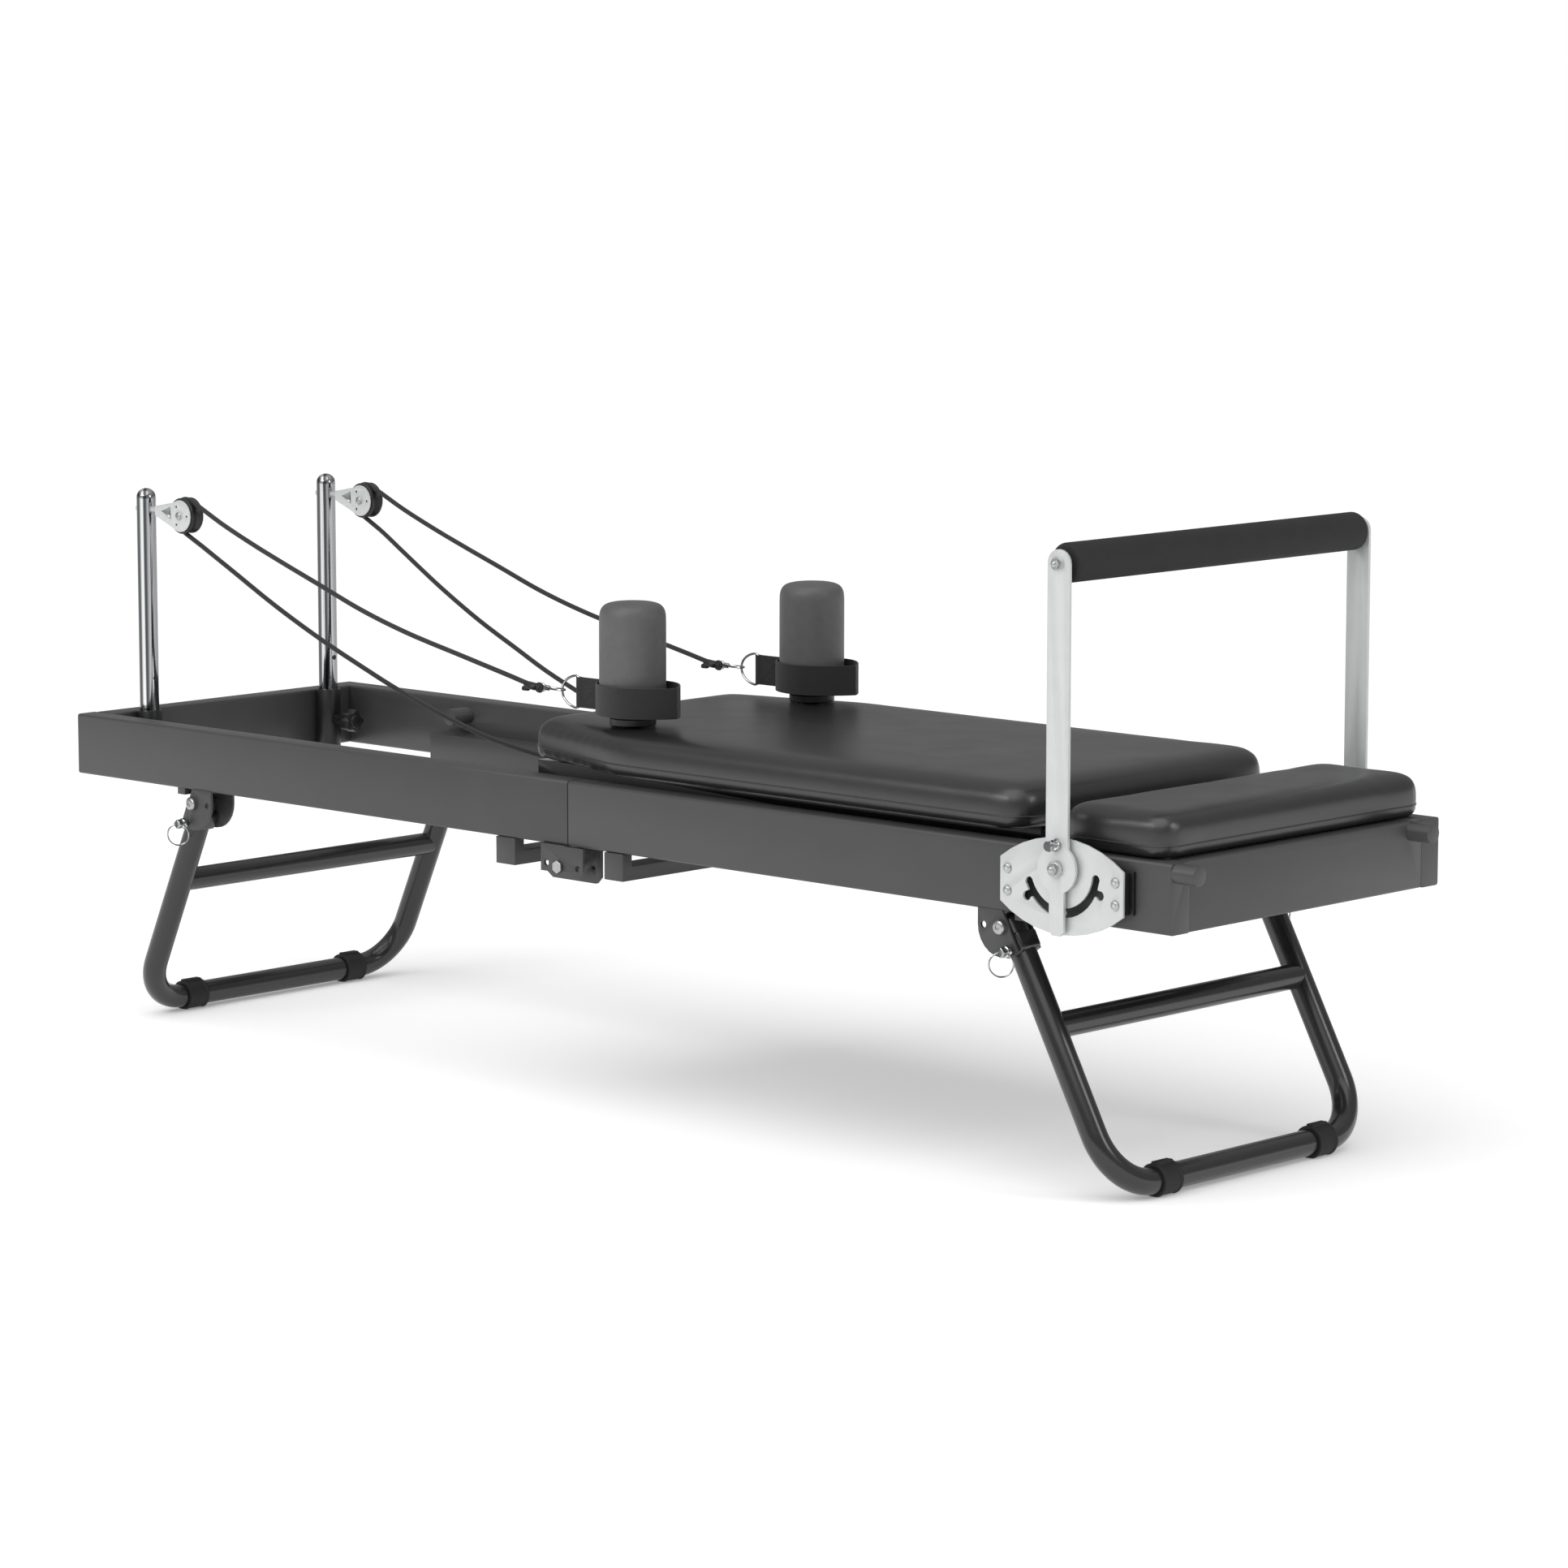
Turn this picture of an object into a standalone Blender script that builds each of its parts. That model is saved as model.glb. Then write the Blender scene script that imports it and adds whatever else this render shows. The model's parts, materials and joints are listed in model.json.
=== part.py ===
"""Folding pilates reformer, modelled as its separate pieces.

Stations: x runs from the head end of the frame to the footbar end, y from the centre line
(near side negative), z from the top of the side rails. Every object hangs on one empty, the
datum, which puts the floor at z = 0 and the middle of the machine's length at x = 0.
All lengths are metres. Distances called "out" are measured from the centre line.
"""
import bmesh
import bpy
from math import acos, atan2, ceil, cos, hypot, pi, radians, sin
from mathutils import Vector

# ---- driving dimensions: frame --------------------------------------------------------------
FRAME_LENGTH = 2.303
FRAME_WIDTH = 0.600
FRAME_TOP = 0.489              # top of the rails above the floor
RAIL_HEIGHT = 0.098
RAIL_WIDTH = 0.040
RAIL_CORNER = 0.004
SEAM = 1.1455                  # where the two halves meet
SEAM_GAP = 0.002
GAP = 0.0003                   # between faces that touch
RUNNING_GAP = 0.0005           # between faces that slide past each other
BITE = 0.0015                  # how far a welded piece sinks into the one it is welded to

TRACK_WIDTH = 0.040            # ledge welded inside each rail, on which the wheels roll
TRACK_TOP = -0.056
TRACK_START = 0.2845
TRACK_END = 2.262

STOP_PEG = dict(x=0.335, z=-0.025, radius=0.014, length=0.043)
END_PEG_OUT = {"near": 0.286, "far": 0.2365}
END_PEG = dict(z=-0.014, radius=0.014, length=0.0375)

CROSSBAR_SPAN = {"head": (0.990, 1.031), "foot": (1.222, 1.261)}
CROSSBAR_BOTTOM = -0.1395
CROSSBAR_DEPTH = 0.022
CROSSBAR_STUB = 0.020

# ---- driving dimensions: frame hinge --------------------------------------------------------
HINGE_X, HINGE_Z = 1.130, -0.130
HINGE_BOLT_RADIUS = 0.006
HINGE_PLATE = 0.0042
HINGE_INNER_OUT = 0.2500       # inner face of the inner hinge plate
HINGE_INNER_PLATE = 0.0055
KNUCKLE_PLATE = 0.006
KNUCKLE_RADIUS = 0.026

# ---- driving dimensions: legs ---------------------------------------------------------------
LEG_PIVOT_Z = -0.120
LEG_PIVOT_X = {"head": 0.287, "foot": 2.002}
LEG_FOOT_X = {"head": 0.126, "foot": 2.190}
LEG_RADIUS = 0.019
LEG_OUT = 0.2755
LEG_BEND = 0.080
LEG_CROSSBAR_RADIUS = 0.0185
LEG_CROSSBAR_DROP = 0.134
SHROUD = dict(start=0.014, end=0.046, half=0.0205, width=0.0395)
SLEEVE_OUT = 0.1745
SLEEVE_WIDTH = 0.040
SLEEVE_RADIUS = 0.024
SOLE_DROP = 0.0225             # floor below the axis of the leg's foot tube
BRACKET_RADIUS = 0.0435
BRACKET_PLATE = 0.004
BRACKET_INNER_OUT = 0.2505
PIN_REACH = 0.036              # pull pin from the leg pivot, along the leg
PIN_RADIUS = 0.004
FOLD_HOLE_REACH = 0.033
FOLD_HOLE_RADIUS = 0.005
STUD_RADIUS = 0.006

# ---- driving dimensions: pulley posts -------------------------------------------------------
POST_X = 0.058
POST_OUT = 0.196
POST_RADIUS = 0.0158
POST_TOP = 0.367
POST_BOTTOM = -0.095
SOCKET_RADIUS = 0.020
SOCKET_TOP = 0.002
KNOB_Z = -0.049
KNOB_TIP = 0.130
PULLEY_X, PULLEY_Z = 0.1586, 0.328
PULLEY_RADIUS = 0.029
PULLEY_HALF = 0.0118
GROOVE_RADIUS = 0.0222
AXLE_RADIUS = 0.003
CLEVIS_OUT = 0.0125            # inner face of a clevis plate from the wheel's mid plane
CLEVIS_PLATE = 0.002
CLEVIS_RADIUS = 0.0258
BRACKET_ROD_Z = 0.333
BRACKET_ROD_RADIUS = 0.005

# ---- driving dimensions: footbar ------------------------------------------------------------
FOOTBAR_X, FOOTBAR_Z = 2.130, -0.021
FOOTBAR_TOP_Z = 0.3955
PLATE_LENGTH = 0.219
PLATE_END_HEIGHT = 0.0615
PLATE_RISE = 0.0363            # how far each curved edge bows beyond the ends
PLATE_MID_Z = -0.0463
PLATE_THICK = 0.004
SPACER = 0.020
SLOT_REACH = 0.062
SLOT_HALF = 0.0065
SLOT_HEADWARD, SLOT_FOOTWARD = radians(67), radians(81)
ARM_THICK = 0.005
ARM_WIDTH = 0.039
ARM_DISC = 0.034
TAIL_WIDTH = 0.026
TAIL_REACH = 0.0923
ARM_GAP = 0.005                # between plate and arm
SLOT_PIN_RADIUS = 0.0045
FOOTBAR_BOLT_RADIUS = 0.006
FOOTBAR_TUBE_RADIUS = 0.0125
GRIP_RADIUS = 0.0275
GRIP_OUT = 0.320
PLUNGER_REACH = 0.033
PLUNGER_RADIUS = 0.004

# ---- driving dimensions: carriage -----------------------------------------------------------
PAD_START, PAD_END = 0.975, 2.026
PAD_TAPER_END = 1.224
PAD_HALF_START = 0.2195
PAD_HALF = 0.2888
PAD_BOTTOM, PAD_TOP = 0.0105, 0.0777
PAD_ROUND = 0.028
PAD_CORNER = 0.050
CHASSIS_START, CHASSIS_END = 0.995, 2.000
CHASSIS_OUT = (0.195, 0.215)
CHASSIS_BOTTOM = -0.030
CROSS_BOTTOM = -0.020
WHEEL_X = {"front": 1.090, "rear": 1.945}
WHEEL_Z = -0.033
WHEEL_RADIUS = 0.0225
WHEEL_OUT = (0.236, 0.254)
WHEEL_AXLE_RADIUS = 0.005
ANCHOR_OUT, ANCHOR_X = 0.135, 0.9853

STAND_START, STAND_END = 2.088, 2.292
STAND_BOTTOM, STAND_TOP = 0.0005, 0.0645
STAND_ROUND = 0.024
STAND_CORNER = 0.040

REST_X, REST_OUT = 1.180, 0.196
REST_RADIUS = 0.052
REST_BOTTOM, REST_TOP = 0.095, 0.264
REST_DISC_RADIUS = 0.035
REST_PIN_RADIUS = 0.012
REST_PIN_BOTTOM = 0.040

# ---- driving dimensions: straps, ropes and springs ------------------------------------------
STRAP_Z = (0.0945, 0.1405)
STRAP_THICK = 0.0024
STRAP_LOOP = dict(x=1.196, half_length=0.076, half_width=0.058)
RING_BAR_X, RING_FRONT_X = 1.066, 1.0289
RING_Z = (0.0905, 0.1445)
RING_WIRE = 0.0019
HOOK_START = 0.9843
HOOK_Z = 0.1180
ROPE_RADIUS = 0.0038
ROPE_WRAP = 0.0268
ROPE_POINT_SPACING = 0.030
SPRING_OUT = {"near": -0.100, "middle": 0.0, "far": 0.100}
SPRING_RADIUS = 0.011
SPRING_Z = -0.045
SPRING_TAB = (1.492, 1.522)
SPRING_BAR = (2.046, 2.071)

SIDES = {"near": -1, "far": 1}
FINE, MEDIUM, COARSE = 28, 18, 12      # sides of large, middling and small round pieces
X_MIDDLE = (FRAME_LENGTH + END_PEG["length"]) / 2
HALF_WIDTH = FRAME_WIDTH / 2
RAIL_IN = HALF_WIDTH - RAIL_WIDTH
TRACK_IN = RAIL_IN - TRACK_WIDTH
PLATE_IN = HALF_WIDTH + GAP + SPACER
PLATE_OUT = PLATE_IN + PLATE_THICK
ARM_IN = PLATE_OUT + ARM_GAP
ARM_OUT = ARM_IN + ARM_THICK

for leftover in list(bpy.data.objects):
    bpy.data.objects.remove(leftover, do_unlink=True)

datum = bpy.data.objects.new("datum", None)
datum.location = (-X_MIDDLE, 0.0, FRAME_TOP)
bpy.context.scene.collection.objects.link(datum)


# ---- materials ------------------------------------------------------------------------------
def finish(name, colour, roughness, metallic=0.0):
    """A Principled material of one colour."""
    material = bpy.data.materials.new(name)
    material.use_nodes = True
    shader = material.node_tree.nodes["Principled BSDF"]
    shader.inputs["Base Color"].default_value = (*colour, 1.0)
    shader.inputs["Roughness"].default_value = roughness
    shader.inputs["Metallic"].default_value = metallic
    return material


POWDER = finish("grey_powder_coat", (0.055, 0.055, 0.057), 0.45)
GLOSS_PAINT = finish("black_gloss_paint", (0.022, 0.022, 0.023), 0.25)
SILVER = finish("silver_paint", (0.66, 0.67, 0.66), 0.35, 0.3)
CHROME = finish("chrome_plate", (0.80, 0.80, 0.80), 0.08, 1.0)
ZINC = finish("zinc_plate", (0.60, 0.60, 0.60), 0.30, 1.0)
VINYL = finish("black_vinyl", (0.020, 0.020, 0.021), 0.42)
REST_VINYL = finish("grey_vinyl", (0.085, 0.085, 0.085), 0.50)
RUBBER = finish("black_rubber", (0.015, 0.015, 0.015), 0.75)
PLASTIC = finish("black_plastic", (0.020, 0.020, 0.020), 0.40)
FOAM = finish("foam_grip", (0.020, 0.020, 0.020), 0.85)
WEBBING = finish("black_webbing", (0.020, 0.020, 0.020), 0.85)
CORD = finish("black_rope", (0.030, 0.030, 0.030), 0.80)
SPRING_STEEL = finish("spring_steel", (0.45, 0.45, 0.46), 0.30, 1.0)


# ---- shape helpers --------------------------------------------------------------------------
def outward(bm):
    """Merge doubles and turn every face outwards."""
    bmesh.ops.remove_doubles(bm, verts=bm.verts, dist=1e-6)
    bmesh.ops.recalc_face_normals(bm, faces=bm.faces)
    return bm


def block(x, y, z):
    """A box between two limits on each axis."""
    bm = bmesh.new()
    bmesh.ops.create_cube(bm, size=1.0)
    bmesh.ops.scale(bm, vec=[abs(limit[1] - limit[0]) for limit in (x, y, z)], verts=bm.verts)
    bmesh.ops.translate(bm, vec=[sum(limit) / 2 for limit in (x, y, z)], verts=bm.verts)
    return bm


def prism(outline, axis, span):
    """An outline in the two directions across an axis, pushed along that axis."""
    low, high = sorted(span)
    along = "XYZ".index(axis)
    bm = bmesh.new()
    corners = []
    for point in outline:
        place = list(point)
        place.insert(along, low)
        corners.append(bm.verts.new(place))
    grown = bmesh.ops.extrude_face_region(bm, geom=[bm.faces.new(corners)])
    push = [0.0, 0.0, 0.0]
    push[along] = high - low
    bmesh.ops.translate(bm, vec=push, verts=[v for v in grown["geom"] if isinstance(v, bmesh.types.BMVert)])
    return outward(bm)


def rod(start, end, radius, sides=MEDIUM):
    """A round bar between two points."""
    start, end = Vector(start), Vector(end)
    bm = bmesh.new()
    bmesh.ops.create_cone(bm, cap_ends=True, segments=sides, radius1=radius, radius2=radius,
                          depth=(end - start).length)
    turn = Vector((0, 0, 1)).rotation_difference(end - start).to_matrix()
    bmesh.ops.rotate(bm, verts=bm.verts, cent=(0, 0, 0), matrix=turn)
    bmesh.ops.translate(bm, vec=(start + end) / 2, verts=bm.verts)
    return bm


def cross_rod(x, z, side, out, radius, sides=MEDIUM):
    """A round bar across the machine, on one side of it, between two distances out."""
    return rod((x, side * out[0], z), (x, side * out[1], z), radius, sides)


def turned(profile, centre, axis=(0, 0, 1), sides=FINE, bored=False):
    """A (radius, height) profile turned about an axis; a bored one is a closed loop."""
    bm = bmesh.new()
    verts = [bm.verts.new((radius, 0, height)) for radius, height in profile]
    edges = [bm.edges.new(pair) for pair in zip(verts, verts[1:])]
    if bored:
        edges.append(bm.edges.new((verts[-1], verts[0])))
    bmesh.ops.spin(bm, geom=verts + edges, cent=(0, 0, 0), axis=(0, 0, 1), angle=2 * pi,
                   steps=sides, use_merge=True)
    outward(bm)
    turn = Vector((0, 0, 1)).rotation_difference(Vector(axis)).to_matrix()
    bmesh.ops.rotate(bm, verts=bm.verts, cent=(0, 0, 0), matrix=turn)
    bmesh.ops.translate(bm, vec=centre, verts=bm.verts)
    return bm


def route_curve(name, points, radius, resolution, closed=False, widths=None):
    """A poly curve with a round bevel and filled ends."""
    curve = bpy.data.curves.new(name, "CURVE")
    curve.dimensions = "3D"
    curve.bevel_depth = radius
    curve.bevel_resolution = resolution
    curve.use_fill_caps = not closed
    spline = curve.splines.new("POLY")
    spline.points.add(len(points) - 1)
    for index, point in enumerate(points):
        spline.points[index].co = (*point, 1.0)
        spline.points[index].radius = widths[index] if widths else 1.0
    spline.use_cyclic_u = closed
    obj = bpy.data.objects.new(name, curve)
    bpy.context.scene.collection.objects.link(obj)
    return obj


def evaluated(obj):
    """The finished mesh of an object as a bmesh; the object is then removed."""
    bpy.context.view_layer.update()
    graph = bpy.context.evaluated_depsgraph_get()
    shape = obj.evaluated_get(graph)
    bm = bmesh.new()
    bm.from_mesh(shape.to_mesh())
    shape.to_mesh_clear()
    bpy.data.objects.remove(obj, do_unlink=True)
    return bm


def tube(points, radius, resolution=5, closed=False, widths=None):
    """A round bar that follows a list of points."""
    return outward(evaluated(route_curve("work", points, radius, resolution, closed, widths)))


def holder(bm, collection):
    """A working object for one bmesh, in triangles so that every face is truly flat."""
    bmesh.ops.triangulate(bm, faces=bm.faces)
    mesh = bpy.data.meshes.new("work")
    bm.to_mesh(mesh)
    bm.free()
    obj = bpy.data.objects.new("work", mesh)
    collection.objects.link(obj)
    return obj


def boolean(base, tools, operation):
    """One exact boolean between a closed solid and a group of others."""
    group = bpy.data.collections.new("tools")
    bpy.context.scene.collection.children.link(group)
    kept = holder(base, bpy.context.scene.collection)
    others = [holder(tool, group) for tool in tools]
    step = kept.modifiers.new("step", "BOOLEAN")
    step.operation = operation
    step.operand_type = "COLLECTION"
    step.collection = group
    result = evaluated(kept)
    for other in others:
        bpy.data.objects.remove(other, do_unlink=True)
    bpy.data.collections.remove(group)
    return outward(result)


def weld(base, *pieces):
    """Join pieces to a base."""
    return boolean(base, pieces, "UNION")


def cut(base, *tools):
    """Cut tools out of a base."""
    return boolean(base, tools, "DIFFERENCE")


def piece(name, bm, material, origin=(0, 0, 0)):
    """Name a solid, give it its finish and put its origin where it turns or stands."""
    outward(bm)
    bmesh.ops.translate(bm, vec=-Vector(origin), verts=bm.verts)
    mesh = bpy.data.meshes.new(name)
    bm.to_mesh(mesh)
    bm.free()
    mesh.materials.append(material)
    mesh.shade_smooth()
    mesh.set_sharp_from_angle(angle=radians(35))
    obj = bpy.data.objects.new(name, mesh)
    bpy.context.scene.collection.objects.link(obj)
    obj.parent = datum
    obj.location = origin
    return obj


def arc(centre, radius, start, end, steps):
    """Points on an arc, ends included."""
    return [(centre[0] + radius * cos(start + (end - start) * i / steps),
             centre[1] + radius * sin(start + (end - start) * i / steps)) for i in range(steps + 1)]


def rounded_box(x, y, radius, steps=3):
    """A rectangle's outline with rounded corners."""
    (x0, x1), (y0, y1) = sorted(x), sorted(y)
    corners = ((x1 - radius, y0 + radius, -90), (x1 - radius, y1 - radius, 0),
               (x0 + radius, y1 - radius, 90), (x0 + radius, y0 + radius, 180))
    outline = []
    for cx, cy, start in corners:
        outline += arc((cx, cy), radius, radians(start), radians(start + 90), steps)
    return outline


def out(side, *distances):
    """Distances out from the centre line, on one side."""
    return tuple(side * distance for distance in distances)


# ---- frame ----------------------------------------------------------------------------------
def leg_line(end):
    """Which way a leg folds (+1 towards x), its lean from the vertical and its length."""
    run = LEG_FOOT_X[end] - LEG_PIVOT_X[end]
    drop = FRAME_TOP + LEG_PIVOT_Z - SOLE_DROP
    return (1 if run < 0 else -1), atan2(abs(run), drop), hypot(run, drop)


def leg_point(end, along, across=0.0):
    """A point along a leg from its pivot, and across it towards the side it folds to."""
    fold, lean, _ = leg_line(end)
    x = LEG_PIVOT_X[end] + fold * (-along * sin(lean) + across * cos(lean))
    return x, LEG_PIVOT_Z - along * cos(lean) - across * sin(lean)


def bracket_outline(end):
    """The leg bracket: a sector about the pivot, straight along the leg and flat at the rail."""
    fold, lean, _ = leg_line(end)
    margin = radians(16)
    sweep = arc((0, 0), BRACKET_RADIUS, 0, -(pi / 2 + lean + margin), 9)
    last = sweep[-1]
    top = -RAIL_HEIGHT - LEG_PIVOT_Z + BITE
    rise = (top - last[1]) / cos(lean)
    outline = [(BRACKET_RADIUS, top)] + sweep + [(last[0] + rise * sin(lean), top)]
    return [(LEG_PIVOT_X[end] + fold * u, LEG_PIVOT_Z + v) for u, v in outline]


def with_leg_bracket(rail, end, side):
    """Weld on the two plates that hold a leg, its pivot stud and the stop under the rail."""
    fold, _, _ = leg_line(end)
    pivot = LEG_PIVOT_X[end]
    plates = bracket_outline(end)
    inner = (BRACKET_INNER_OUT, BRACKET_INNER_OUT + BRACKET_PLATE)
    stud_end = HALF_WIDTH + 0.006
    stop = sorted((pivot - fold * 0.040, pivot - fold * 0.0225))
    rail = weld(rail,
                prism(plates, "Y", out(side, HALF_WIDTH - BRACKET_PLATE, HALF_WIDTH)),
                prism(plates, "Y", out(side, *inner)),
                block(stop, out(side, RAIL_IN + 0.002, HALF_WIDTH - 0.002),
                      (-RAIL_HEIGHT - 0.010, -RAIL_HEIGHT + BITE)),
                cross_rod(pivot, LEG_PIVOT_Z, side, (inner[0] + 0.001, stud_end), STUD_RADIUS),
                cross_rod(pivot, LEG_PIVOT_Z, side, (HALF_WIDTH - 0.001, stud_end), 0.011))
    pin_x, pin_z = leg_point(end, PIN_REACH)
    through = (HALF_WIDTH - 2 * BRACKET_PLATE, HALF_WIDTH + BRACKET_PLATE)
    return cut(rail,
               cross_rod(pin_x, pin_z, side, through, PIN_RADIUS + RUNNING_GAP, COARSE),
               cross_rod(pivot + fold * FOLD_HOLE_REACH, LEG_PIVOT_Z, side, through,
                         FOLD_HOLE_RADIUS, COARSE))


def with_head_hinge(rail, side):
    """Weld on the head half's two hinge plates and bore them."""
    x, z, top = HINGE_X, HINGE_Z, -RAIL_HEIGHT
    outer = [(x - 0.038, top - 0.0005), (x + 0.052, top - 0.0005), (x + 0.052, z - 0.004),
             (x + 0.040, z - 0.017), (x - 0.012, z - 0.017), (x - 0.024, z - 0.009),
             (x - 0.038, z - 0.009)]
    neck = 0.013
    inner = [(x - KNUCKLE_RADIUS, top + BITE)]
    inner += arc((x, z), KNUCKLE_RADIUS, pi, 2 * pi + acos(neck / KNUCKLE_RADIUS), 10)
    inner += [(x + neck, top + BITE)]
    outer_span = (HALF_WIDTH + GAP, HALF_WIDTH + GAP + HINGE_PLATE)
    inner_span = (HINGE_INNER_OUT, HINGE_INNER_OUT + HINGE_INNER_PLATE)
    rail = weld(rail,
                block((x - 0.038, x + neck), out(side, HALF_WIDTH - 0.015, outer_span[1]),
                      (top - 0.0025, top + 0.0005)),
                prism(outer, "Y", out(side, *outer_span)),
                prism(inner, "Y", out(side, *inner_span)))
    through = (inner_span[0] - 0.002, outer_span[1] + 0.002)
    return cut(rail,
               cross_rod(x, z, side, through, HINGE_BOLT_RADIUS + RUNNING_GAP),
               cross_rod(x - 0.026, z + 0.004, side, (HALF_WIDTH, through[1]), 0.005, COARSE),
               cross_rod(x + 0.040, z + 0.001, side, (HALF_WIDTH, through[1]), 0.005, COARSE))


def with_foot_knuckle(rail, side):
    """Weld on the foot half's hinge knuckle and bore it."""
    x, z, top = HINGE_X, HINGE_Z, -RAIL_HEIGHT + BITE
    outline = [(x + 0.018, top)]
    outline += arc((x, z), KNUCKLE_RADIUS, radians(60), radians(270), 10)
    outline += [(x + 0.040, z - KNUCKLE_RADIUS), (x + 0.050, z - 0.016), (x + 0.050, top)]
    span = (RAIL_IN, RAIL_IN + KNUCKLE_PLATE)
    rail = weld(rail, prism(outline, "Y", out(side, *span)))
    through = (span[0] - 0.002, span[1] + 0.002)
    return cut(rail,
               cross_rod(x, z, side, through, HINGE_BOLT_RADIUS + RUNNING_GAP),
               cross_rod(x + 0.036, z, side, through, 0.005, COARSE))


def rail_with_track(side, span, track):
    """One side rail of a frame half with the wheel track welded inside it."""
    rail = prism(rounded_box(out(side, RAIL_IN, HALF_WIDTH), (-RAIL_HEIGHT, 0), RAIL_CORNER), "X", span)
    ledge = block(track, out(side, TRACK_IN, RAIL_IN + 2 * RAIL_CORNER), (-RAIL_HEIGHT, TRACK_TOP))
    return weld(rail, ledge)


def head_rail(name, side):
    rail = rail_with_track(side, (0, SEAM - SEAM_GAP / 2), (TRACK_START, SEAM - SEAM_GAP / 2))
    peg = cross_rod(STOP_PEG["x"], STOP_PEG["z"], side,
                    (RAIL_IN - STOP_PEG["length"], RAIL_IN + BITE), STOP_PEG["radius"])
    rail = with_head_hinge(with_leg_bracket(weld(rail, peg), "head", side), side)
    return piece(f"head_rail_{name}", rail, POWDER)


def end_peg(name, side):
    """A round peg that stands out of the foot end."""
    place = (side * END_PEG_OUT[name], END_PEG["z"])
    return rod((FRAME_LENGTH - BITE, *place), (FRAME_LENGTH + END_PEG["length"], *place), END_PEG["radius"])


def foot_rail(name, side):
    rail = rail_with_track(side, (SEAM + SEAM_GAP / 2, FRAME_LENGTH), (SEAM + SEAM_GAP / 2, TRACK_END))
    rail = with_foot_knuckle(with_leg_bracket(rail, "foot", side), side)
    if END_PEG_OUT[name] > RAIL_IN:
        rail = weld(rail, end_peg(name, side))
    return piece(f"foot_rail_{name}", rail, POWDER)


def end_rails():
    """The rails across the two ends, between the side rails."""
    reach = (GAP - RAIL_IN, RAIL_IN - GAP)
    head = prism(rounded_box((0, RAIL_WIDTH), (-RAIL_HEIGHT, 0), RAIL_CORNER), "Y", reach)
    for side in SIDES.values():
        head = cut(head, rod((POST_X, side * POST_OUT, -RAIL_HEIGHT - 0.01),
                             (POST_X, side * POST_OUT, 0.01), SOCKET_RADIUS + GAP, FINE))
    piece("head_end_rail", head, POWDER)
    foot = prism(rounded_box((FRAME_LENGTH - RAIL_WIDTH, FRAME_LENGTH), (-RAIL_HEIGHT, 0), RAIL_CORNER),
                 "Y", reach)
    for name, side in SIDES.items():
        if END_PEG_OUT[name] < RAIL_IN:
            foot = weld(foot, end_peg(name, side))
    piece("foot_end_rail", foot, POWDER)


def crossbar(end):
    """The U-shaped bar under the rails beside the fold."""
    wide, top = HALF_WIDTH, -RAIL_HEIGHT - GAP
    inside, seat = wide - CROSSBAR_STUB, CROSSBAR_BOTTOM + CROSSBAR_DEPTH
    outline = [(-wide, CROSSBAR_BOTTOM), (wide, CROSSBAR_BOTTOM), (wide, top), (inside, top),
               (inside, seat), (-inside, seat), (-inside, top), (-wide, top)]
    piece(f"{end}_crossbar", prism(outline, "X", CROSSBAR_SPAN[end]), POWDER)


def hinge_bolt(name, side):
    outer = HALF_WIDTH + GAP + HINGE_PLATE
    bolt = weld(cross_rod(HINGE_X, HINGE_Z, side, (HINGE_INNER_OUT - 0.005, outer + 0.003), HINGE_BOLT_RADIUS),
                cross_rod(HINGE_X, HINGE_Z, side, (outer + GAP, outer + 0.005), 0.010, 6),
                cross_rod(HINGE_X, HINGE_Z, side, (HINGE_INNER_OUT - 0.0055, HINGE_INNER_OUT - GAP), 0.010, 6))
    piece(f"frame_hinge_bolt_{name}", bolt, ZINC, (HINGE_X, side * HALF_WIDTH, HINGE_Z))


# ---- legs -----------------------------------------------------------------------------------
def leg_path(end):
    """Route of a leg's tube: round top, down, across the floor and up, with its tube widths."""
    _, _, length = leg_line(end)
    half = [(along, LEG_OUT, width) for along, width in
            ((-0.0186, 0.20), (-0.0165, 0.50), (-0.0095, 0.866), (0.0, 1.0), (length - LEG_BEND, 1.0))]
    steps = 6
    for i in range(1, steps + 1):
        turn = pi / 2 * i / steps
        half.append((length - LEG_BEND + LEG_BEND * sin(turn), LEG_OUT - LEG_BEND * (1 - cos(turn)), 1.0))
    points, widths = [], []
    for side, run in ((-1, half), (1, half[::-1])):
        for along, where, width in run:
            x, z = leg_point(end, along)
            points.append((x, side * where, z))
            widths.append(width)
    return points, widths


def leg(end):
    """One leg frame: bent tube, crossbar, and a shroud under each pivot, bored for the studs."""
    _, lean, _ = leg_line(end)
    points, widths = leg_path(end)
    bar_x, bar_z = leg_point(end, LEG_CROSSBAR_DROP / cos(lean))
    frame = weld(tube(points, LEG_RADIUS, 5, widths=widths),
                 rod((bar_x, -LEG_OUT, bar_z), (bar_x, LEG_OUT, bar_z), LEG_CROSSBAR_RADIUS, 14))
    shroud = [leg_point(end, along, across) for along, across in
              ((SHROUD["start"], -SHROUD["half"]), (SHROUD["start"], SHROUD["half"]),
               (SHROUD["end"], SHROUD["half"]), (SHROUD["end"], -SHROUD["half"]))]
    for side in SIDES.values():
        width = SHROUD["width"] / 2
        frame = weld(frame, prism(shroud, "Y", out(side, LEG_OUT - width, LEG_OUT + width)))
        frame = cut(frame, cross_rod(LEG_PIVOT_X[end], LEG_PIVOT_Z, side,
                                     (LEG_OUT - 0.03, LEG_OUT + 0.03), STUD_RADIUS + RUNNING_GAP))
    piece(f"{end}_leg_tube", frame, GLOSS_PAINT, (LEG_PIVOT_X[end], 0, LEG_PIVOT_Z))


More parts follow.
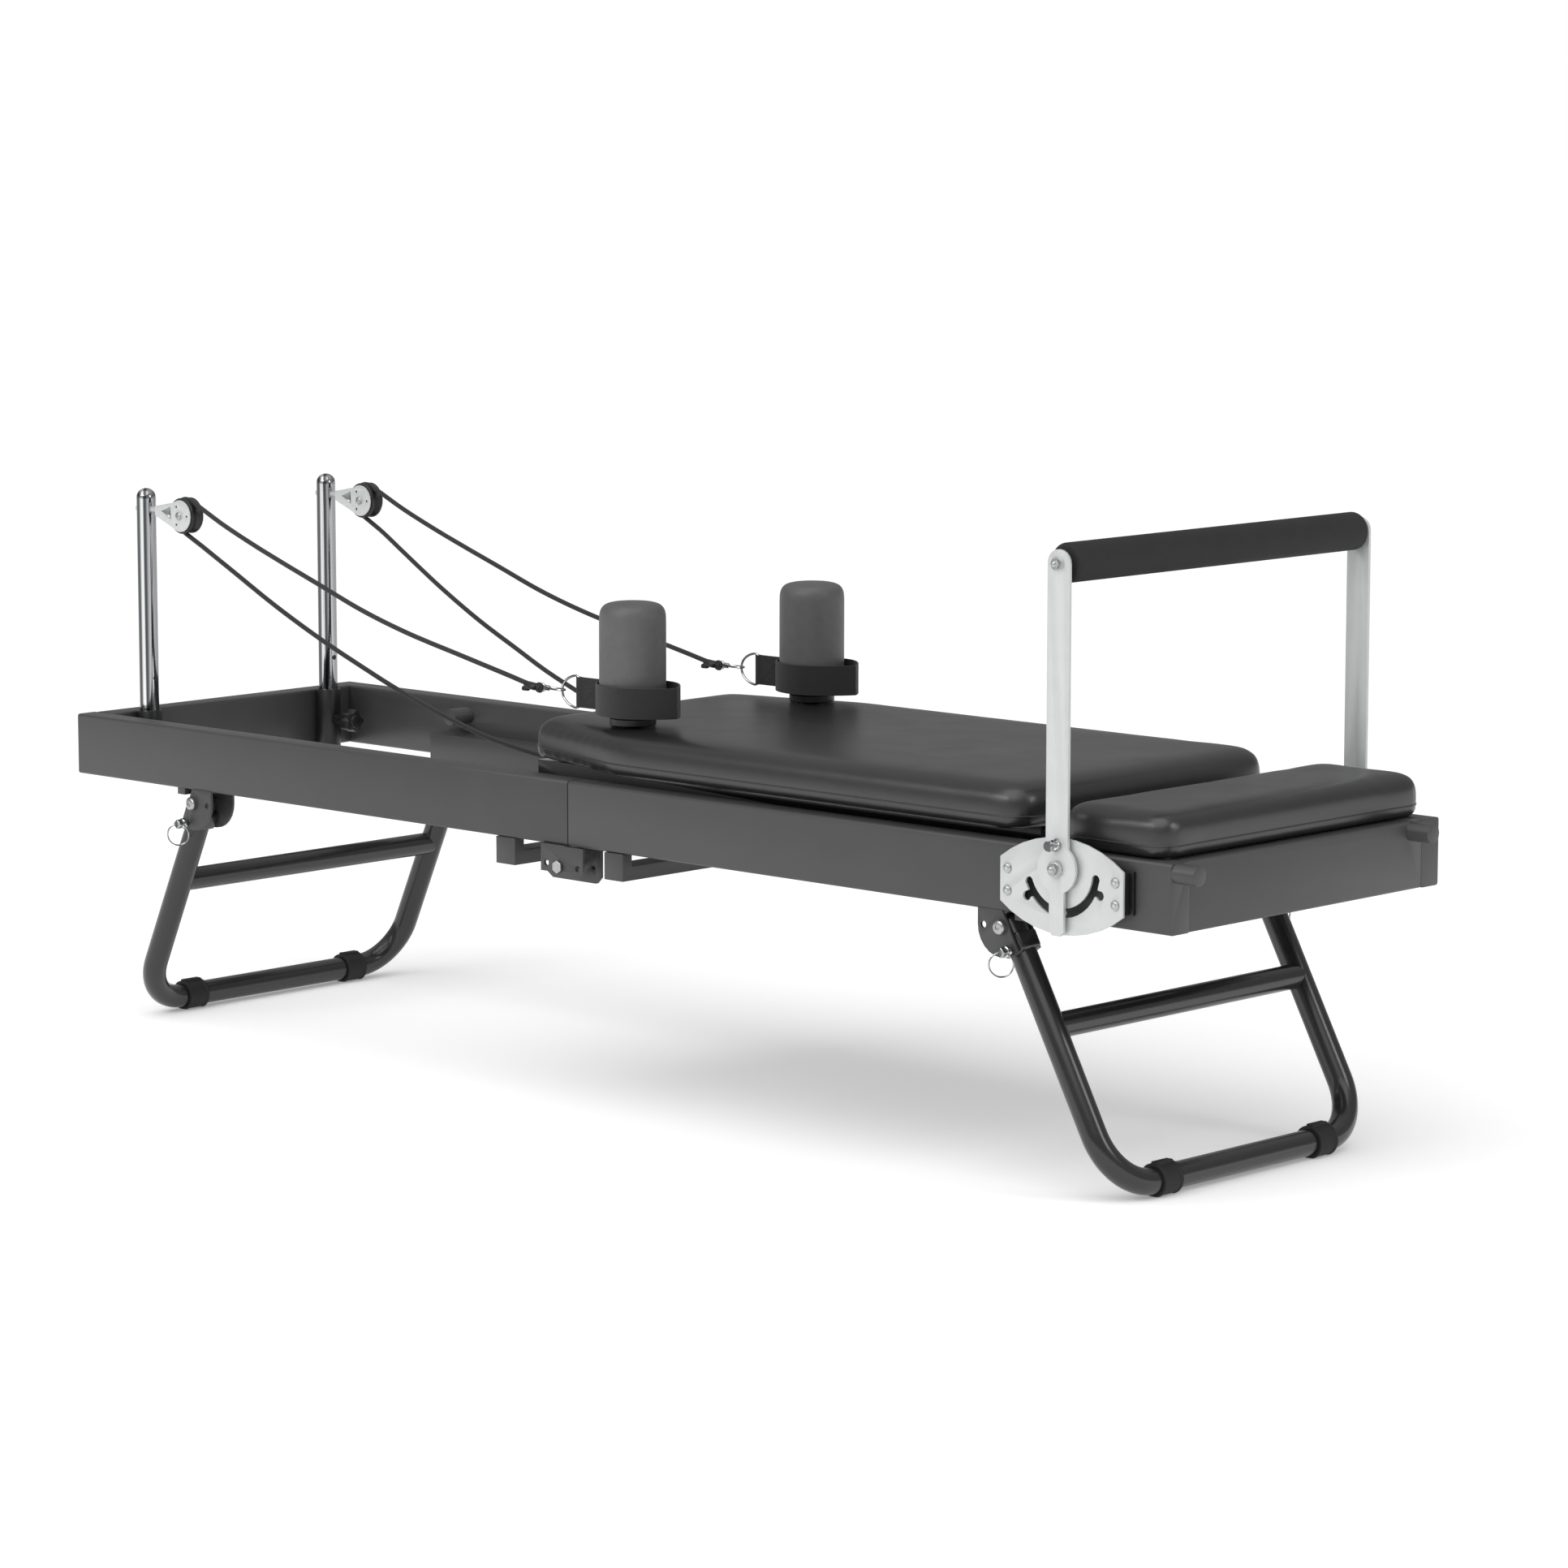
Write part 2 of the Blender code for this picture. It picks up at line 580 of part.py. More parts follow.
def leg_sleeve(end, name, side):
    """A rubber sleeve round the foot tube, with a flat sole on the floor."""
    _, _, length = leg_line(end)
    x, z = leg_point(end, length)
    flat = acos(SOLE_DROP / SLEEVE_RADIUS)
    outline = arc((x, z), SLEEVE_RADIUS, -pi / 2 + flat, 3 * pi / 2 - flat, 22)
    span = (SLEEVE_OUT - SLEEVE_WIDTH / 2, SLEEVE_OUT + SLEEVE_WIDTH / 2)
    sleeve = cut(prism(outline, "Y", out(side, *span)),
                 cross_rod(x, z, side, (span[0] - 0.01, span[1] + 0.01), LEG_RADIUS + 0.0004, 22))
    piece(f"{end}_leg_foot_{name}", sleeve, RUBBER)


def ring_points(centre, radius, steps, normal="Y"):
    """A closed ring of points across the named axis."""
    place = {"X": lambda a, b: (centre[0], centre[1] + a, centre[2] + b),
             "Y": lambda a, b: (centre[0] + a, centre[1], centre[2] + b)}[normal]
    return [place(radius * cos(2 * pi * i / steps), radius * sin(2 * pi * i / steps)) for i in range(steps)]


def pull_pin(end, name, side):
    """Spring pin with collar, cap and pull ring; it locks the leg from outside the bracket."""
    x, z = leg_point(end, PIN_REACH)
    tip = LEG_OUT + SHROUD["width"] / 2 + RUNNING_GAP
    face = HALF_WIDTH
    ring_radius = 0.0150
    pin = weld(cross_rod(x, z, side, (tip, face + 0.004), PIN_RADIUS, COARSE),
               cross_rod(x, z, side, (face + GAP, face + 0.0095), 0.0085, COARSE),
               cross_rod(x, z, side, (face + 0.009, face + 0.0165), 0.0060, COARSE),
               tube(ring_points((x, side * (face + 0.0135), z - ring_radius), ring_radius, 20), 0.0011, 1,
                    closed=True))
    piece(f"{end}_leg_pin_{name}", pin, CHROME, (x, side * face, z))


# ---- pulley posts ---------------------------------------------------------------------------
def post_parts(name, side):
    """Socket, post, clamp knob, pulley bracket and pulley wheel on one side."""
    y = side * POST_OUT
    bore = POST_RADIUS + RUNNING_GAP
    socket = turned([(bore, -RAIL_HEIGHT), (SOCKET_RADIUS, -RAIL_HEIGHT), (SOCKET_RADIUS, SOCKET_TOP),
                     (bore, SOCKET_TOP)], (POST_X, y, 0), bored=True)
    socket = cut(socket, rod((POST_X, y, KNOB_Z), (POST_X + 0.03, y, KNOB_Z), 0.0045, COARSE))
    piece(f"post_socket_{name}", socket, PLASTIC, (POST_X, y, 0))

    rise = 0.0135
    dome = [(POST_RADIUS * cos(turn), POST_TOP - rise + rise * sin(turn)) for turn in
            (radians(degrees) for degrees in (0, 22, 45, 67))]
    post = turned([(0, POST_BOTTOM), (POST_RADIUS, POST_BOTTOM)] + dome + [(0, POST_TOP)], (POST_X, y, 0))
    post = cut(post, rod((POST_X - 0.03, y, BRACKET_ROD_Z), (POST_X + 0.03, y, BRACKET_ROD_Z),
                         BRACKET_ROD_RADIUS + GAP, COARSE))
    piece(f"pulley_post_{name}", post, CHROME, (POST_X, y, 0))

    shoulder = POST_X + SOCKET_RADIUS + RUNNING_GAP
    lobes = []
    for turn in (2 * pi * i / 30 for i in range(30)):
        reach = 0.0168 + 0.0032 * cos(5 * turn)
        lobes.append((y + reach * cos(turn), KNOB_Z + reach * sin(turn)))
    knob = weld(prism(lobes, "X", (KNOB_TIP - 0.026, KNOB_TIP - 0.006)),
                rod((shoulder, y, KNOB_Z), (KNOB_TIP - 0.020, y, KNOB_Z), 0.0095, MEDIUM),
                rod((POST_X + POST_RADIUS + GAP, y, KNOB_Z), (KNOB_TIP - 0.030, y, KNOB_Z), 0.004, COARSE),
                rod((KNOB_TIP - 0.010, y, KNOB_Z), (KNOB_TIP, y, KNOB_Z), 0.011, MEDIUM))
    piece(f"post_knob_{name}", knob, PLASTIC, (shoulder, y, KNOB_Z))

    piece(f"pulley_bracket_{name}", pulley_bracket(y), SILVER, (POST_X, y, BRACKET_ROD_Z))
    wheel = turned([(AXLE_RADIUS + 0.0004, -PULLEY_HALF), (PULLEY_RADIUS, -PULLEY_HALF),
                    (PULLEY_RADIUS, -0.0075), (GROOVE_RADIUS, -0.0035), (GROOVE_RADIUS, 0.0035),
                    (PULLEY_RADIUS, 0.0075), (PULLEY_RADIUS, PULLEY_HALF),
                    (AXLE_RADIUS + 0.0004, PULLEY_HALF)], (PULLEY_X, y, PULLEY_Z), (0, 1, 0), bored=True)
    piece(f"pulley_wheel_{name}", wheel, PLASTIC, (PULLEY_X, y, PULLEY_Z))


def pulley_bracket(y):
    """Threaded rod through the post, neck, two clevis plates with a cut-out, and the axle."""
    neck_x, neck = 0.0985, 0.008
    plate = [(neck_x, BRACKET_ROD_Z - neck)]
    plate += arc((PULLEY_X, PULLEY_Z), CLEVIS_RADIUS, radians(-125), radians(125), 14)
    plate += [(neck_x, BRACKET_ROD_Z + neck)]
    window = [(0.113, 0.3335), (0.136, 0.3215), (0.136, 0.3425)]
    outer = CLEVIS_OUT + CLEVIS_PLATE
    step = 0.0004              # the neck stands back from the plates' faces by this much
    solid = block((neck_x - 0.002, neck_x + 0.010), (y - outer + step, y + outer - step),
                  (BRACKET_ROD_Z - neck + step, BRACKET_ROD_Z + neck - step))
    solid = weld(solid, rod((POST_X - 0.022, y, BRACKET_ROD_Z), (neck_x, y, BRACKET_ROD_Z),
                            BRACKET_ROD_RADIUS, COARSE))
    for way in (-1, 1):
        span = sorted((y + way * CLEVIS_OUT, y + way * outer))
        through = (span[0] - 0.001, span[1] + 0.001)
        holes = [rod((x, through[0], z), (x, through[1], z), 0.0022, 10) for x, z in
                 arc((PULLEY_X, PULLEY_Z), 0.0168, 0, 4 * pi / 3, 2)]
        cheek = cut(prism(plate, "Y", span), prism(window, "Y", through), *holes)
        solid = weld(solid, cheek,
                     rod((PULLEY_X, y + way * (outer - 0.0005), PULLEY_Z),
                         (PULLEY_X, y + way * (outer + 0.0035), PULLEY_Z), 0.0060, COARSE))
    return weld(solid, rod((PULLEY_X, y - outer - 0.001, PULLEY_Z), (PULLEY_X, y + outer + 0.001, PULLEY_Z),
                           AXLE_RADIUS, COARSE))


# ---- footbar --------------------------------------------------------------------------------
def about_footbar(reach, angle):
    """A point about the footbar's pivot; the angle is from straight down, towards the foot end."""
    return FOOTBAR_X + reach * sin(angle), FOOTBAR_Z - reach * cos(angle)


def slot_tools(side):
    """Cutters for the curved slot and its two-lobed ends."""
    span = out(side, PLATE_IN - 0.002, PLATE_OUT + 0.002)
    down = -pi / 2
    centre = (FOOTBAR_X, FOOTBAR_Z)
    band = arc(centre, SLOT_REACH + SLOT_HALF, down - SLOT_HEADWARD, down + SLOT_FOOTWARD, 16)
    band += arc(centre, SLOT_REACH - SLOT_HALF, down + SLOT_FOOTWARD, down - SLOT_HEADWARD, 16)
    tools = [prism(band, "Y", span)]
    lobe = SLOT_HALF + 0.0004
    for end, back in ((-SLOT_HEADWARD, radians(13)), (SLOT_FOOTWARD, radians(-15))):
        for reach, angle in ((SLOT_REACH, end), (SLOT_REACH + 0.0135, end + back)):
            x, z = about_footbar(reach, angle)
            tools.append(rod((x, span[0], z), (x, span[1], z), lobe, COARSE))
        neck = [about_footbar(reach, end + back + turn) for reach, turn in
                ((SLOT_REACH, -0.09), (SLOT_REACH + 0.0135, -0.07), (SLOT_REACH + 0.0135, 0.07), (SLOT_REACH, 0.09))]
        tools.append(prism(neck, "Y", span))
    return tools


def footbar_plate(name, side):
    """Side plate with bowed edges and a curved slot, its spacers, bolts and pivot bolt."""
    half, end_half = PLATE_LENGTH / 2, PLATE_END_HEIGHT / 2
    bow = (half ** 2 + PLATE_RISE ** 2) / (2 * PLATE_RISE)
    swing = atan2(half, bow - PLATE_RISE)
    low, high = PLATE_MID_Z - end_half - PLATE_RISE, PLATE_MID_Z + end_half + PLATE_RISE
    outline = arc((FOOTBAR_X, low + bow), bow, -pi / 2 - swing, -pi / 2 + swing, 10)
    outline += arc((FOOTBAR_X, high - bow), bow, pi / 2 - swing, pi / 2 + swing, 10)
    plate = prism(outline, "Y", out(side, PLATE_IN, PLATE_OUT))
    for way in (-1, 1):
        outer_edge = FOOTBAR_X + way * (half - 0.003)
        inner_edge = FOOTBAR_X + way * (half - 0.028)
        plate = weld(plate, block(sorted((outer_edge, inner_edge)),
                                  out(side, HALF_WIDTH + GAP, PLATE_IN + 0.001),
                                  (PLATE_MID_Z - 0.028, PLATE_MID_Z + 0.028)))
        for height in (-0.0155, 0.0155):
            plate = weld(plate, cross_rod(FOOTBAR_X + way * (half - 0.0135), PLATE_MID_Z + height, side,
                                          (PLATE_OUT - 0.001, PLATE_OUT + 0.0035), 0.0065, COARSE))
    plate = cut(plate, *slot_tools(side))
    plate = weld(plate,
                 cross_rod(FOOTBAR_X, FOOTBAR_Z, side, (PLATE_OUT - 0.002, ARM_OUT + 0.003), FOOTBAR_BOLT_RADIUS),
                 cross_rod(FOOTBAR_X, FOOTBAR_Z, side, (ARM_OUT + RUNNING_GAP, ARM_OUT + 0.006), 0.011))
    piece(f"footbar_plate_{name}", plate, SILVER)


def footbar_arm(name, side):
    """Flat arm with a disc at its pivot, a tail in the slot and a bolt into the bar."""
    x, z, half, tail = FOOTBAR_X, FOOTBAR_Z, ARM_WIDTH / 2, TAIL_WIDTH / 2
    disc_top = acos(half / ARM_DISC)
    disc_tail = acos(tail / ARM_DISC)
    outline = arc((x, FOOTBAR_TOP_Z), half, 0, pi, 10)
    outline += arc((x, z), ARM_DISC, pi - disc_top, pi + disc_tail, 8)
    outline += [(x - tail, z - TAIL_REACH + 0.006), (x - tail + 0.006, z - TAIL_REACH),
                (x + tail - 0.006, z - TAIL_REACH), (x + tail, z - TAIL_REACH + 0.006)]
    outline += arc((x, z), ARM_DISC, -disc_tail, disc_top, 8)
    arm = prism(outline, "Y", out(side, ARM_IN, ARM_OUT))
    through = (ARM_IN - 0.002, ARM_OUT + 0.002)
    arm = cut(arm, cross_rod(x, z, side, through, FOOTBAR_BOLT_RADIUS + RUNNING_GAP),
              cross_rod(x, z + PLUNGER_REACH, side, through, PLUNGER_RADIUS + RUNNING_GAP, COARSE))
    arm = weld(arm,
               cross_rod(x, z - SLOT_REACH, side, (PLATE_IN - 0.004, ARM_OUT - 0.001), SLOT_PIN_RADIUS, COARSE),
               cross_rod(x, FOOTBAR_TOP_Z, side, (ARM_OUT - 0.001, ARM_OUT + 0.0045), 0.0085, MEDIUM))
    piece(f"footbar_arm_{name}", arm, SILVER, (x, side * ARM_IN, z))


def footbar_bar():
    """Steel tube between the arms, with a foam grip over it."""
    reach = ARM_IN - GAP
    bar = rod((FOOTBAR_X, -reach, FOOTBAR_TOP_Z), (FOOTBAR_X, reach, FOOTBAR_TOP_Z), FOOTBAR_TUBE_RADIUS)
    piece("footbar_tube", bar, ZINC, (FOOTBAR_X, 0, FOOTBAR_TOP_Z))
    bore, round_end = FOOTBAR_TUBE_RADIUS + GAP, 0.002
    grip = turned([(bore, -GRIP_OUT), (GRIP_RADIUS - round_end, -GRIP_OUT), (GRIP_RADIUS, -GRIP_OUT + round_end),
                   (GRIP_RADIUS, GRIP_OUT - round_end), (GRIP_RADIUS - round_end, GRIP_OUT), (bore, GRIP_OUT)],
                  (FOOTBAR_X, 0, FOOTBAR_TOP_Z), (0, 1, 0), bored=True)
    piece("footbar_grip", grip, FOAM, (FOOTBAR_X, 0, FOOTBAR_TOP_Z))


def footbar_plunger(name, side):
    """Spring plunger through the arm, above the pivot."""
    z = FOOTBAR_Z + PLUNGER_REACH
    plunger = weld(cross_rod(FOOTBAR_X, z, side, (PLATE_OUT + RUNNING_GAP, ARM_OUT + 0.004), PLUNGER_RADIUS, COARSE),
                   cross_rod(FOOTBAR_X, z, side, (ARM_OUT + GAP, ARM_OUT + 0.008), 0.0085, COARSE),
                   cross_rod(FOOTBAR_X, z, side, (ARM_OUT + 0.007, ARM_OUT + 0.020), 0.0065, COARSE))
    piece(f"footbar_plunger_{name}", plunger, CHROME, (FOOTBAR_X, side * ARM_OUT, z))


# ---- pads and carriage ----------------------------------------------------------------------
def rounded_pad(outline, bottom, top, radius):
    """A flat-bottomed pad whose top edge is rounded."""
    pad = prism(outline, "Z", (bottom, top))
    rim = [edge for edge in pad.edges if all(v.co.z > top - 1e-5 for v in edge.verts)]
    bmesh.ops.bevel(pad, geom=rim, offset=radius, offset_type="OFFSET", segments=4, profile=0.5,
                    affect="EDGES", material=-1)
    return outward(pad)


def carriage_pad():
    """Tapered lying pad with two bores for the shoulder rests."""
    half = [(PAD_START, PAD_HALF_START), (PAD_TAPER_END, PAD_HALF)]
    half += arc((PAD_END - PAD_CORNER, PAD_HALF - PAD_CORNER), PAD_CORNER, pi / 2, 0, 5)
    outline = half + [(x, -y) for x, y in reversed(half)]
    pad = rounded_pad(outline, PAD_BOTTOM, PAD_TOP, PAD_ROUND)
    for side in SIDES.values():
        pad = cut(pad, rod((REST_X, side * REST_OUT, REST_PIN_BOTTOM - 0.005),
                           (REST_X, side * REST_OUT, PAD_TOP + 0.01), REST_PIN_RADIUS + 0.001))
    piece("carriage_pad", pad, VINYL)


def standing_pad():
    outline = rounded_box((STAND_START, STAND_END), (-HALF_WIDTH, HALF_WIDTH), STAND_CORNER, 5)
    piece("standing_pad", rounded_pad(outline, STAND_BOTTOM, STAND_TOP, STAND_ROUND), VINYL)


def carriage_chassis():
    """Steel frame under the pad: members, axles, rope anchors and spring tabs."""
    top = PAD_BOTTOM - GAP
    inner = CHASSIS_OUT[0] + 0.002
    step = 0.001               # members stand back from each other's faces by this much
    cross = [(x - 0.014, x + 0.014) for x in (CHASSIS_START + 0.015, sum(SPRING_TAB) / 2, WHEEL_X["rear"])]
    frame = block(cross[0], (-inner, inner), (CROSS_BOTTOM, top - step))
    for side in SIDES.values():
        frame = weld(frame, block((CHASSIS_START, CHASSIS_END), out(side, *CHASSIS_OUT), (CHASSIS_BOTTOM, top)))
    for span in cross[1:]:
        frame = weld(frame, block(span, (-inner, inner), (CROSS_BOTTOM, top - step)))
    for side in SIDES.values():
        for x in WHEEL_X.values():
            frame = weld(frame,
                         block((x - 0.016, x + 0.016), out(side, CHASSIS_OUT[0] + 0.004, CHASSIS_OUT[1] - step),
                               (WHEEL_Z - 0.009, CHASSIS_BOTTOM + 0.005)),
                         cross_rod(x, WHEEL_Z, side, (CHASSIS_OUT[1] - 0.004, RAIL_IN - 0.002),
                                   WHEEL_AXLE_RADIUS, COARSE))
        frame = weld(frame, block((ANCHOR_X, CHASSIS_START + 0.004), out(side, ANCHOR_OUT - 0.009, ANCHOR_OUT + 0.009),
                                  (CROSS_BOTTOM + 0.004, 0.006)))
    for y in SPRING_OUT.values():
        frame = weld(frame, block(SPRING_TAB, (y - 0.013, y + 0.013), (SPRING_Z - 0.013, CROSS_BOTTOM + 0.002)))
    piece("carriage_chassis", frame, GLOSS_PAINT)


def carriage_wheel(place, name, side):
    """A plain roller with a bore for its axle."""
    x = WHEEL_X[place]
    bore, edge = WHEEL_AXLE_RADIUS + 0.0004, 0.002
    low, high = WHEEL_OUT
    wheel = turned([(bore, low), (WHEEL_RADIUS - edge, low), (WHEEL_RADIUS, low + edge),
                    (WHEEL_RADIUS, high - edge), (WHEEL_RADIUS - edge, high), (bore, high)],
                   (x, 0, WHEEL_Z), (0, side, 0), sides=MEDIUM, bored=True)
    piece(f"carriage_wheel_{place}_{name}", wheel, PLASTIC, (x, side * sum(WHEEL_OUT) / 2, WHEEL_Z))


def shoulder_rest(name, side):
    """Round padded stop on a base disc and a pin."""
    disc = (PAD_TOP + 0.0008, PAD_TOP + 0.0128)
    profile = [(0, REST_PIN_BOTTOM), (REST_PIN_RADIUS, REST_PIN_BOTTOM), (REST_PIN_RADIUS, disc[0]),
               (REST_DISC_RADIUS, disc[0]), (REST_DISC_RADIUS, disc[1]), (REST_DISC_RADIUS - 0.004, disc[1]),
               (REST_DISC_RADIUS - 0.004, REST_BOTTOM), (REST_RADIUS - 0.003, REST_BOTTOM),
               (REST_RADIUS, REST_BOTTOM + 0.003)]
    profile += arc((REST_RADIUS - 0.020, REST_TOP - 0.020), 0.020, 0, pi / 2, 5)[:-1]
    profile += [(REST_RADIUS - 0.020, REST_TOP), (0, REST_TOP)]
    rest = turned(profile, (REST_X, side * REST_OUT, 0), sides=24)
    piece(f"shoulder_rest_{name}", rest, REST_VINYL, (REST_X, side * REST_OUT, REST_PIN_BOTTOM))


# ---- straps, rings, hooks, ropes and springs ------------------------------------------------
def oval(centre, half_length, half_width, steps=28):
    return [(centre[0] + half_length * cos(2 * pi * i / steps), centre[1] + half_width * sin(2 * pi * i / steps))
            for i in range(steps)]


def strap(name, side):
    """Webbing loop round the shoulder rest, with a doubled tail that ends in an eye."""
    y = side * REST_OUT
    centre = (STRAP_LOOP["x"], y)
    length, width = STRAP_LOOP["half_length"], STRAP_LOOP["half_width"]
    band = cut(prism(oval(centre, length, width), "Z", STRAP_Z),
               prism(oval(centre, length - STRAP_THICK, width - STRAP_THICK), "Z",
                     (STRAP_Z[0] - 0.01, STRAP_Z[1] + 0.01)))
    eye, bore = RING_WIRE + 0.0006 + STRAP_THICK, RING_WIRE + 0.0006
    tail = block((RING_BAR_X + bore + 0.0006, STRAP_LOOP["x"] - length + 0.001),
                 (y - STRAP_THICK, y + STRAP_THICK), STRAP_Z)
    ring = turned([(bore, STRAP_Z[0]), (eye, STRAP_Z[0]), (eye, STRAP_Z[1]), (bore, STRAP_Z[1])],
                  (RING_BAR_X, y, 0), sides=14, bored=True)
    piece(f"strap_{name}", weld(band, tail, ring), WEBBING)


def d_ring(name, side):
    """Wire ring with one straight side, which the strap's eye holds."""
    y = side * REST_OUT
    low, high = RING_Z[0] + RING_WIRE, RING_Z[1] - RING_WIRE
    middle, tall, deep = (low + high) / 2, (high - low) / 2, RING_BAR_X - RING_FRONT_X
    points = [(RING_BAR_X, y, middle + tall * part) for part in (-0.97, -0.5, 0, 0.5, 0.97)]
    points += [(RING_BAR_X - deep * sin(turn), y, middle + tall * cos(turn)) for turn in
               (radians(8 + 164 * i / 14) for i in range(15))]
    piece(f"d_ring_{name}", tube(points, RING_WIRE, 2, closed=True), CHROME)


def snap_hook(name, side):
    """Swivel barrel and the loop that passes through the ring."""
    y = side * REST_OUT
    barrel = turned([(0, HOOK_START), (0.0058, HOOK_START), (0.0058, HOOK_START + 0.010),
                     (0.0035, HOOK_START + 0.013), (0, HOOK_START + 0.014)], (0, y, HOOK_Z), (1, 0, 0), sides=COARSE)
    rear, front, half = HOOK_START + 0.014, RING_FRONT_X + 2 * RING_WIRE + GAP, 0.0085
    loop = [(x, y + v, HOOK_Z) for x, v in oval(((rear + front) / 2, 0), (front - rear) / 2, half, 20)]
    piece(f"snap_hook_{name}", weld(barrel, tube(loop, RING_WIRE, 2, closed=True)), CHROME)


def blend(first, second, t, low, high):
    """The point at time t on the line that is at first at time low and at second at time high."""
    return first * ((high - t) / (high - low)) + second * ((t - low) / (high - low))


def smooth_route(route, spacing):
    """Points read from a smooth curve (centripetal Catmull-Rom) through a route's points."""
    knots = [Vector(point) for point in route]
    knots = [2 * knots[0] - knots[1]] + knots + [2 * knots[-1] - knots[-2]]
    points = []
    for four in zip(knots, knots[1:], knots[2:], knots[3:]):
        times = [0.0]
        for start, end in zip(four, four[1:]):
            times.append(times[-1] + (end - start).length ** 0.5)
        steps = max(1, ceil((four[2] - four[1]).length / spacing))
        for i in range(steps):
            t = times[1] + (times[2] - times[1]) * i / steps
            first = [blend(four[k], four[k + 1], t, times[k], times[k + 1]) for k in range(3)]
            second = [blend(first[k], first[k + 1], t, times[k], times[k + 2]) for k in range(2)]
            points.append(blend(second[0], second[1], t, times[1], times[2]))
    points.append(knots[-2])
    return points


# Upper strand from the hook to the pulley, then the lower strand to the carriage: x, out, z.
UPPER_ROUTE = ((0.9835, 0.196, 0.1180), (0.9580, 0.196, 0.1205), (0.9100, 0.196, 0.1305), (0.8108, 0.196, 0.1510),
               (0.6803, 0.196, 0.1783), (0.5793, 0.196, 0.2051), (0.4787, 0.196, 0.2385),
               (0.3900, 0.196, 0.2680), (0.3220, 0.196, 0.2915), (0.2500, 0.196, 0.3185))
LOWER_ROUTE = ((0.2000, 0.194, 0.2775), (0.2613, 0.189, 0.2451), (0.3570, 0.182, 0.1950),
               (0.4535, 0.175, 0.1498), (0.5478, 0.169, 0.1110), (0.6260, 0.163, 0.0802),
               (0.7355, 0.156, 0.0440), (0.8046, 0.152, 0.0244), (0.8891, 0.146, 0.0080),
               (0.9550, 0.137, -0.0014), (0.9845, 0.135, -0.0030))
WRAP_FROM, WRAP_TO = radians(70), radians(238)


def rope(name, side):
    """Rope from the hook over the pulley and back to the carriage."""
    wrap = [(x, POST_OUT, z) for x, z in arc((PULLEY_X, PULLEY_Z), ROPE_WRAP, WRAP_FROM, WRAP_TO, 8)]
    route = [(x, side * where, z) for x, where, z in (*UPPER_ROUTE, *wrap, *LOWER_ROUTE)]
    obj = route_curve(f"rope_{name}", smooth_route(route, ROPE_POINT_SPACING), ROPE_RADIUS, 2)
    obj.data.materials.append(CORD)
    obj.parent = datum


def spring(name, y):
    """Outer shape of one extension spring between the carriage and the spring bar."""
    body = rod((SPRING_TAB[1] + GAP, y, SPRING_Z), (SPRING_BAR[0] - GAP, y, SPRING_Z), SPRING_RADIUS, COARSE)
    piece(f"spring_{name}", body, SPRING_STEEL)


def spring_bar():
    """Bar between the tracks to which the springs are hooked."""
    reach = RAIL_IN - GAP
    piece("spring_bar", block(SPRING_BAR, (-reach, reach), (TRACK_TOP + GAP, TRACK_TOP + 0.026)), POWDER)


# ---- assembly -------------------------------------------------------------------------------
for side_name, side_sign in SIDES.items():
    head_rail(side_name, side_sign)
    foot_rail(side_name, side_sign)
    hinge_bolt(side_name, side_sign)
    post_parts(side_name, side_sign)
    footbar_plate(side_name, side_sign)
    footbar_arm(side_name, side_sign)
    footbar_plunger(side_name, side_sign)
    shoulder_rest(side_name, side_sign)
    strap(side_name, side_sign)
    d_ring(side_name, side_sign)
    snap_hook(side_name, side_sign)
    rope(side_name, side_sign)
    for frame_end in LEG_PIVOT_X:
        leg_sleeve(frame_end, side_name, side_sign)
        pull_pin(frame_end, side_name, side_sign)
    for wheel_place in WHEEL_X:
        carriage_wheel(wheel_place, side_name, side_sign)

for frame_end in LEG_PIVOT_X:
    leg(frame_end)
    crossbar(frame_end)
for spring_name, spring_y in SPRING_OUT.items():
    spring(spring_name, spring_y)
end_rails()
spring_bar()
footbar_bar()
carriage_pad()
carriage_chassis()
standing_pad()
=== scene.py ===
# %% [markdown]
# # Dressing a pilates reformer
# The steel frame, hinges, legs and footbar come ready-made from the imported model, in metres with
# the floor at z = 0. This lesson gives each of them its real finish, and builds what a frame
# cannot hold: stuffed vinyl pads, webbing straps, braided ropes, coil springs and smooth round
# tubes. Every new piece is told which body of the machine it moves with.

# %% Load the frame
import json
from math import atan2, ceil, cos, hypot, pi, radians, sin, tan

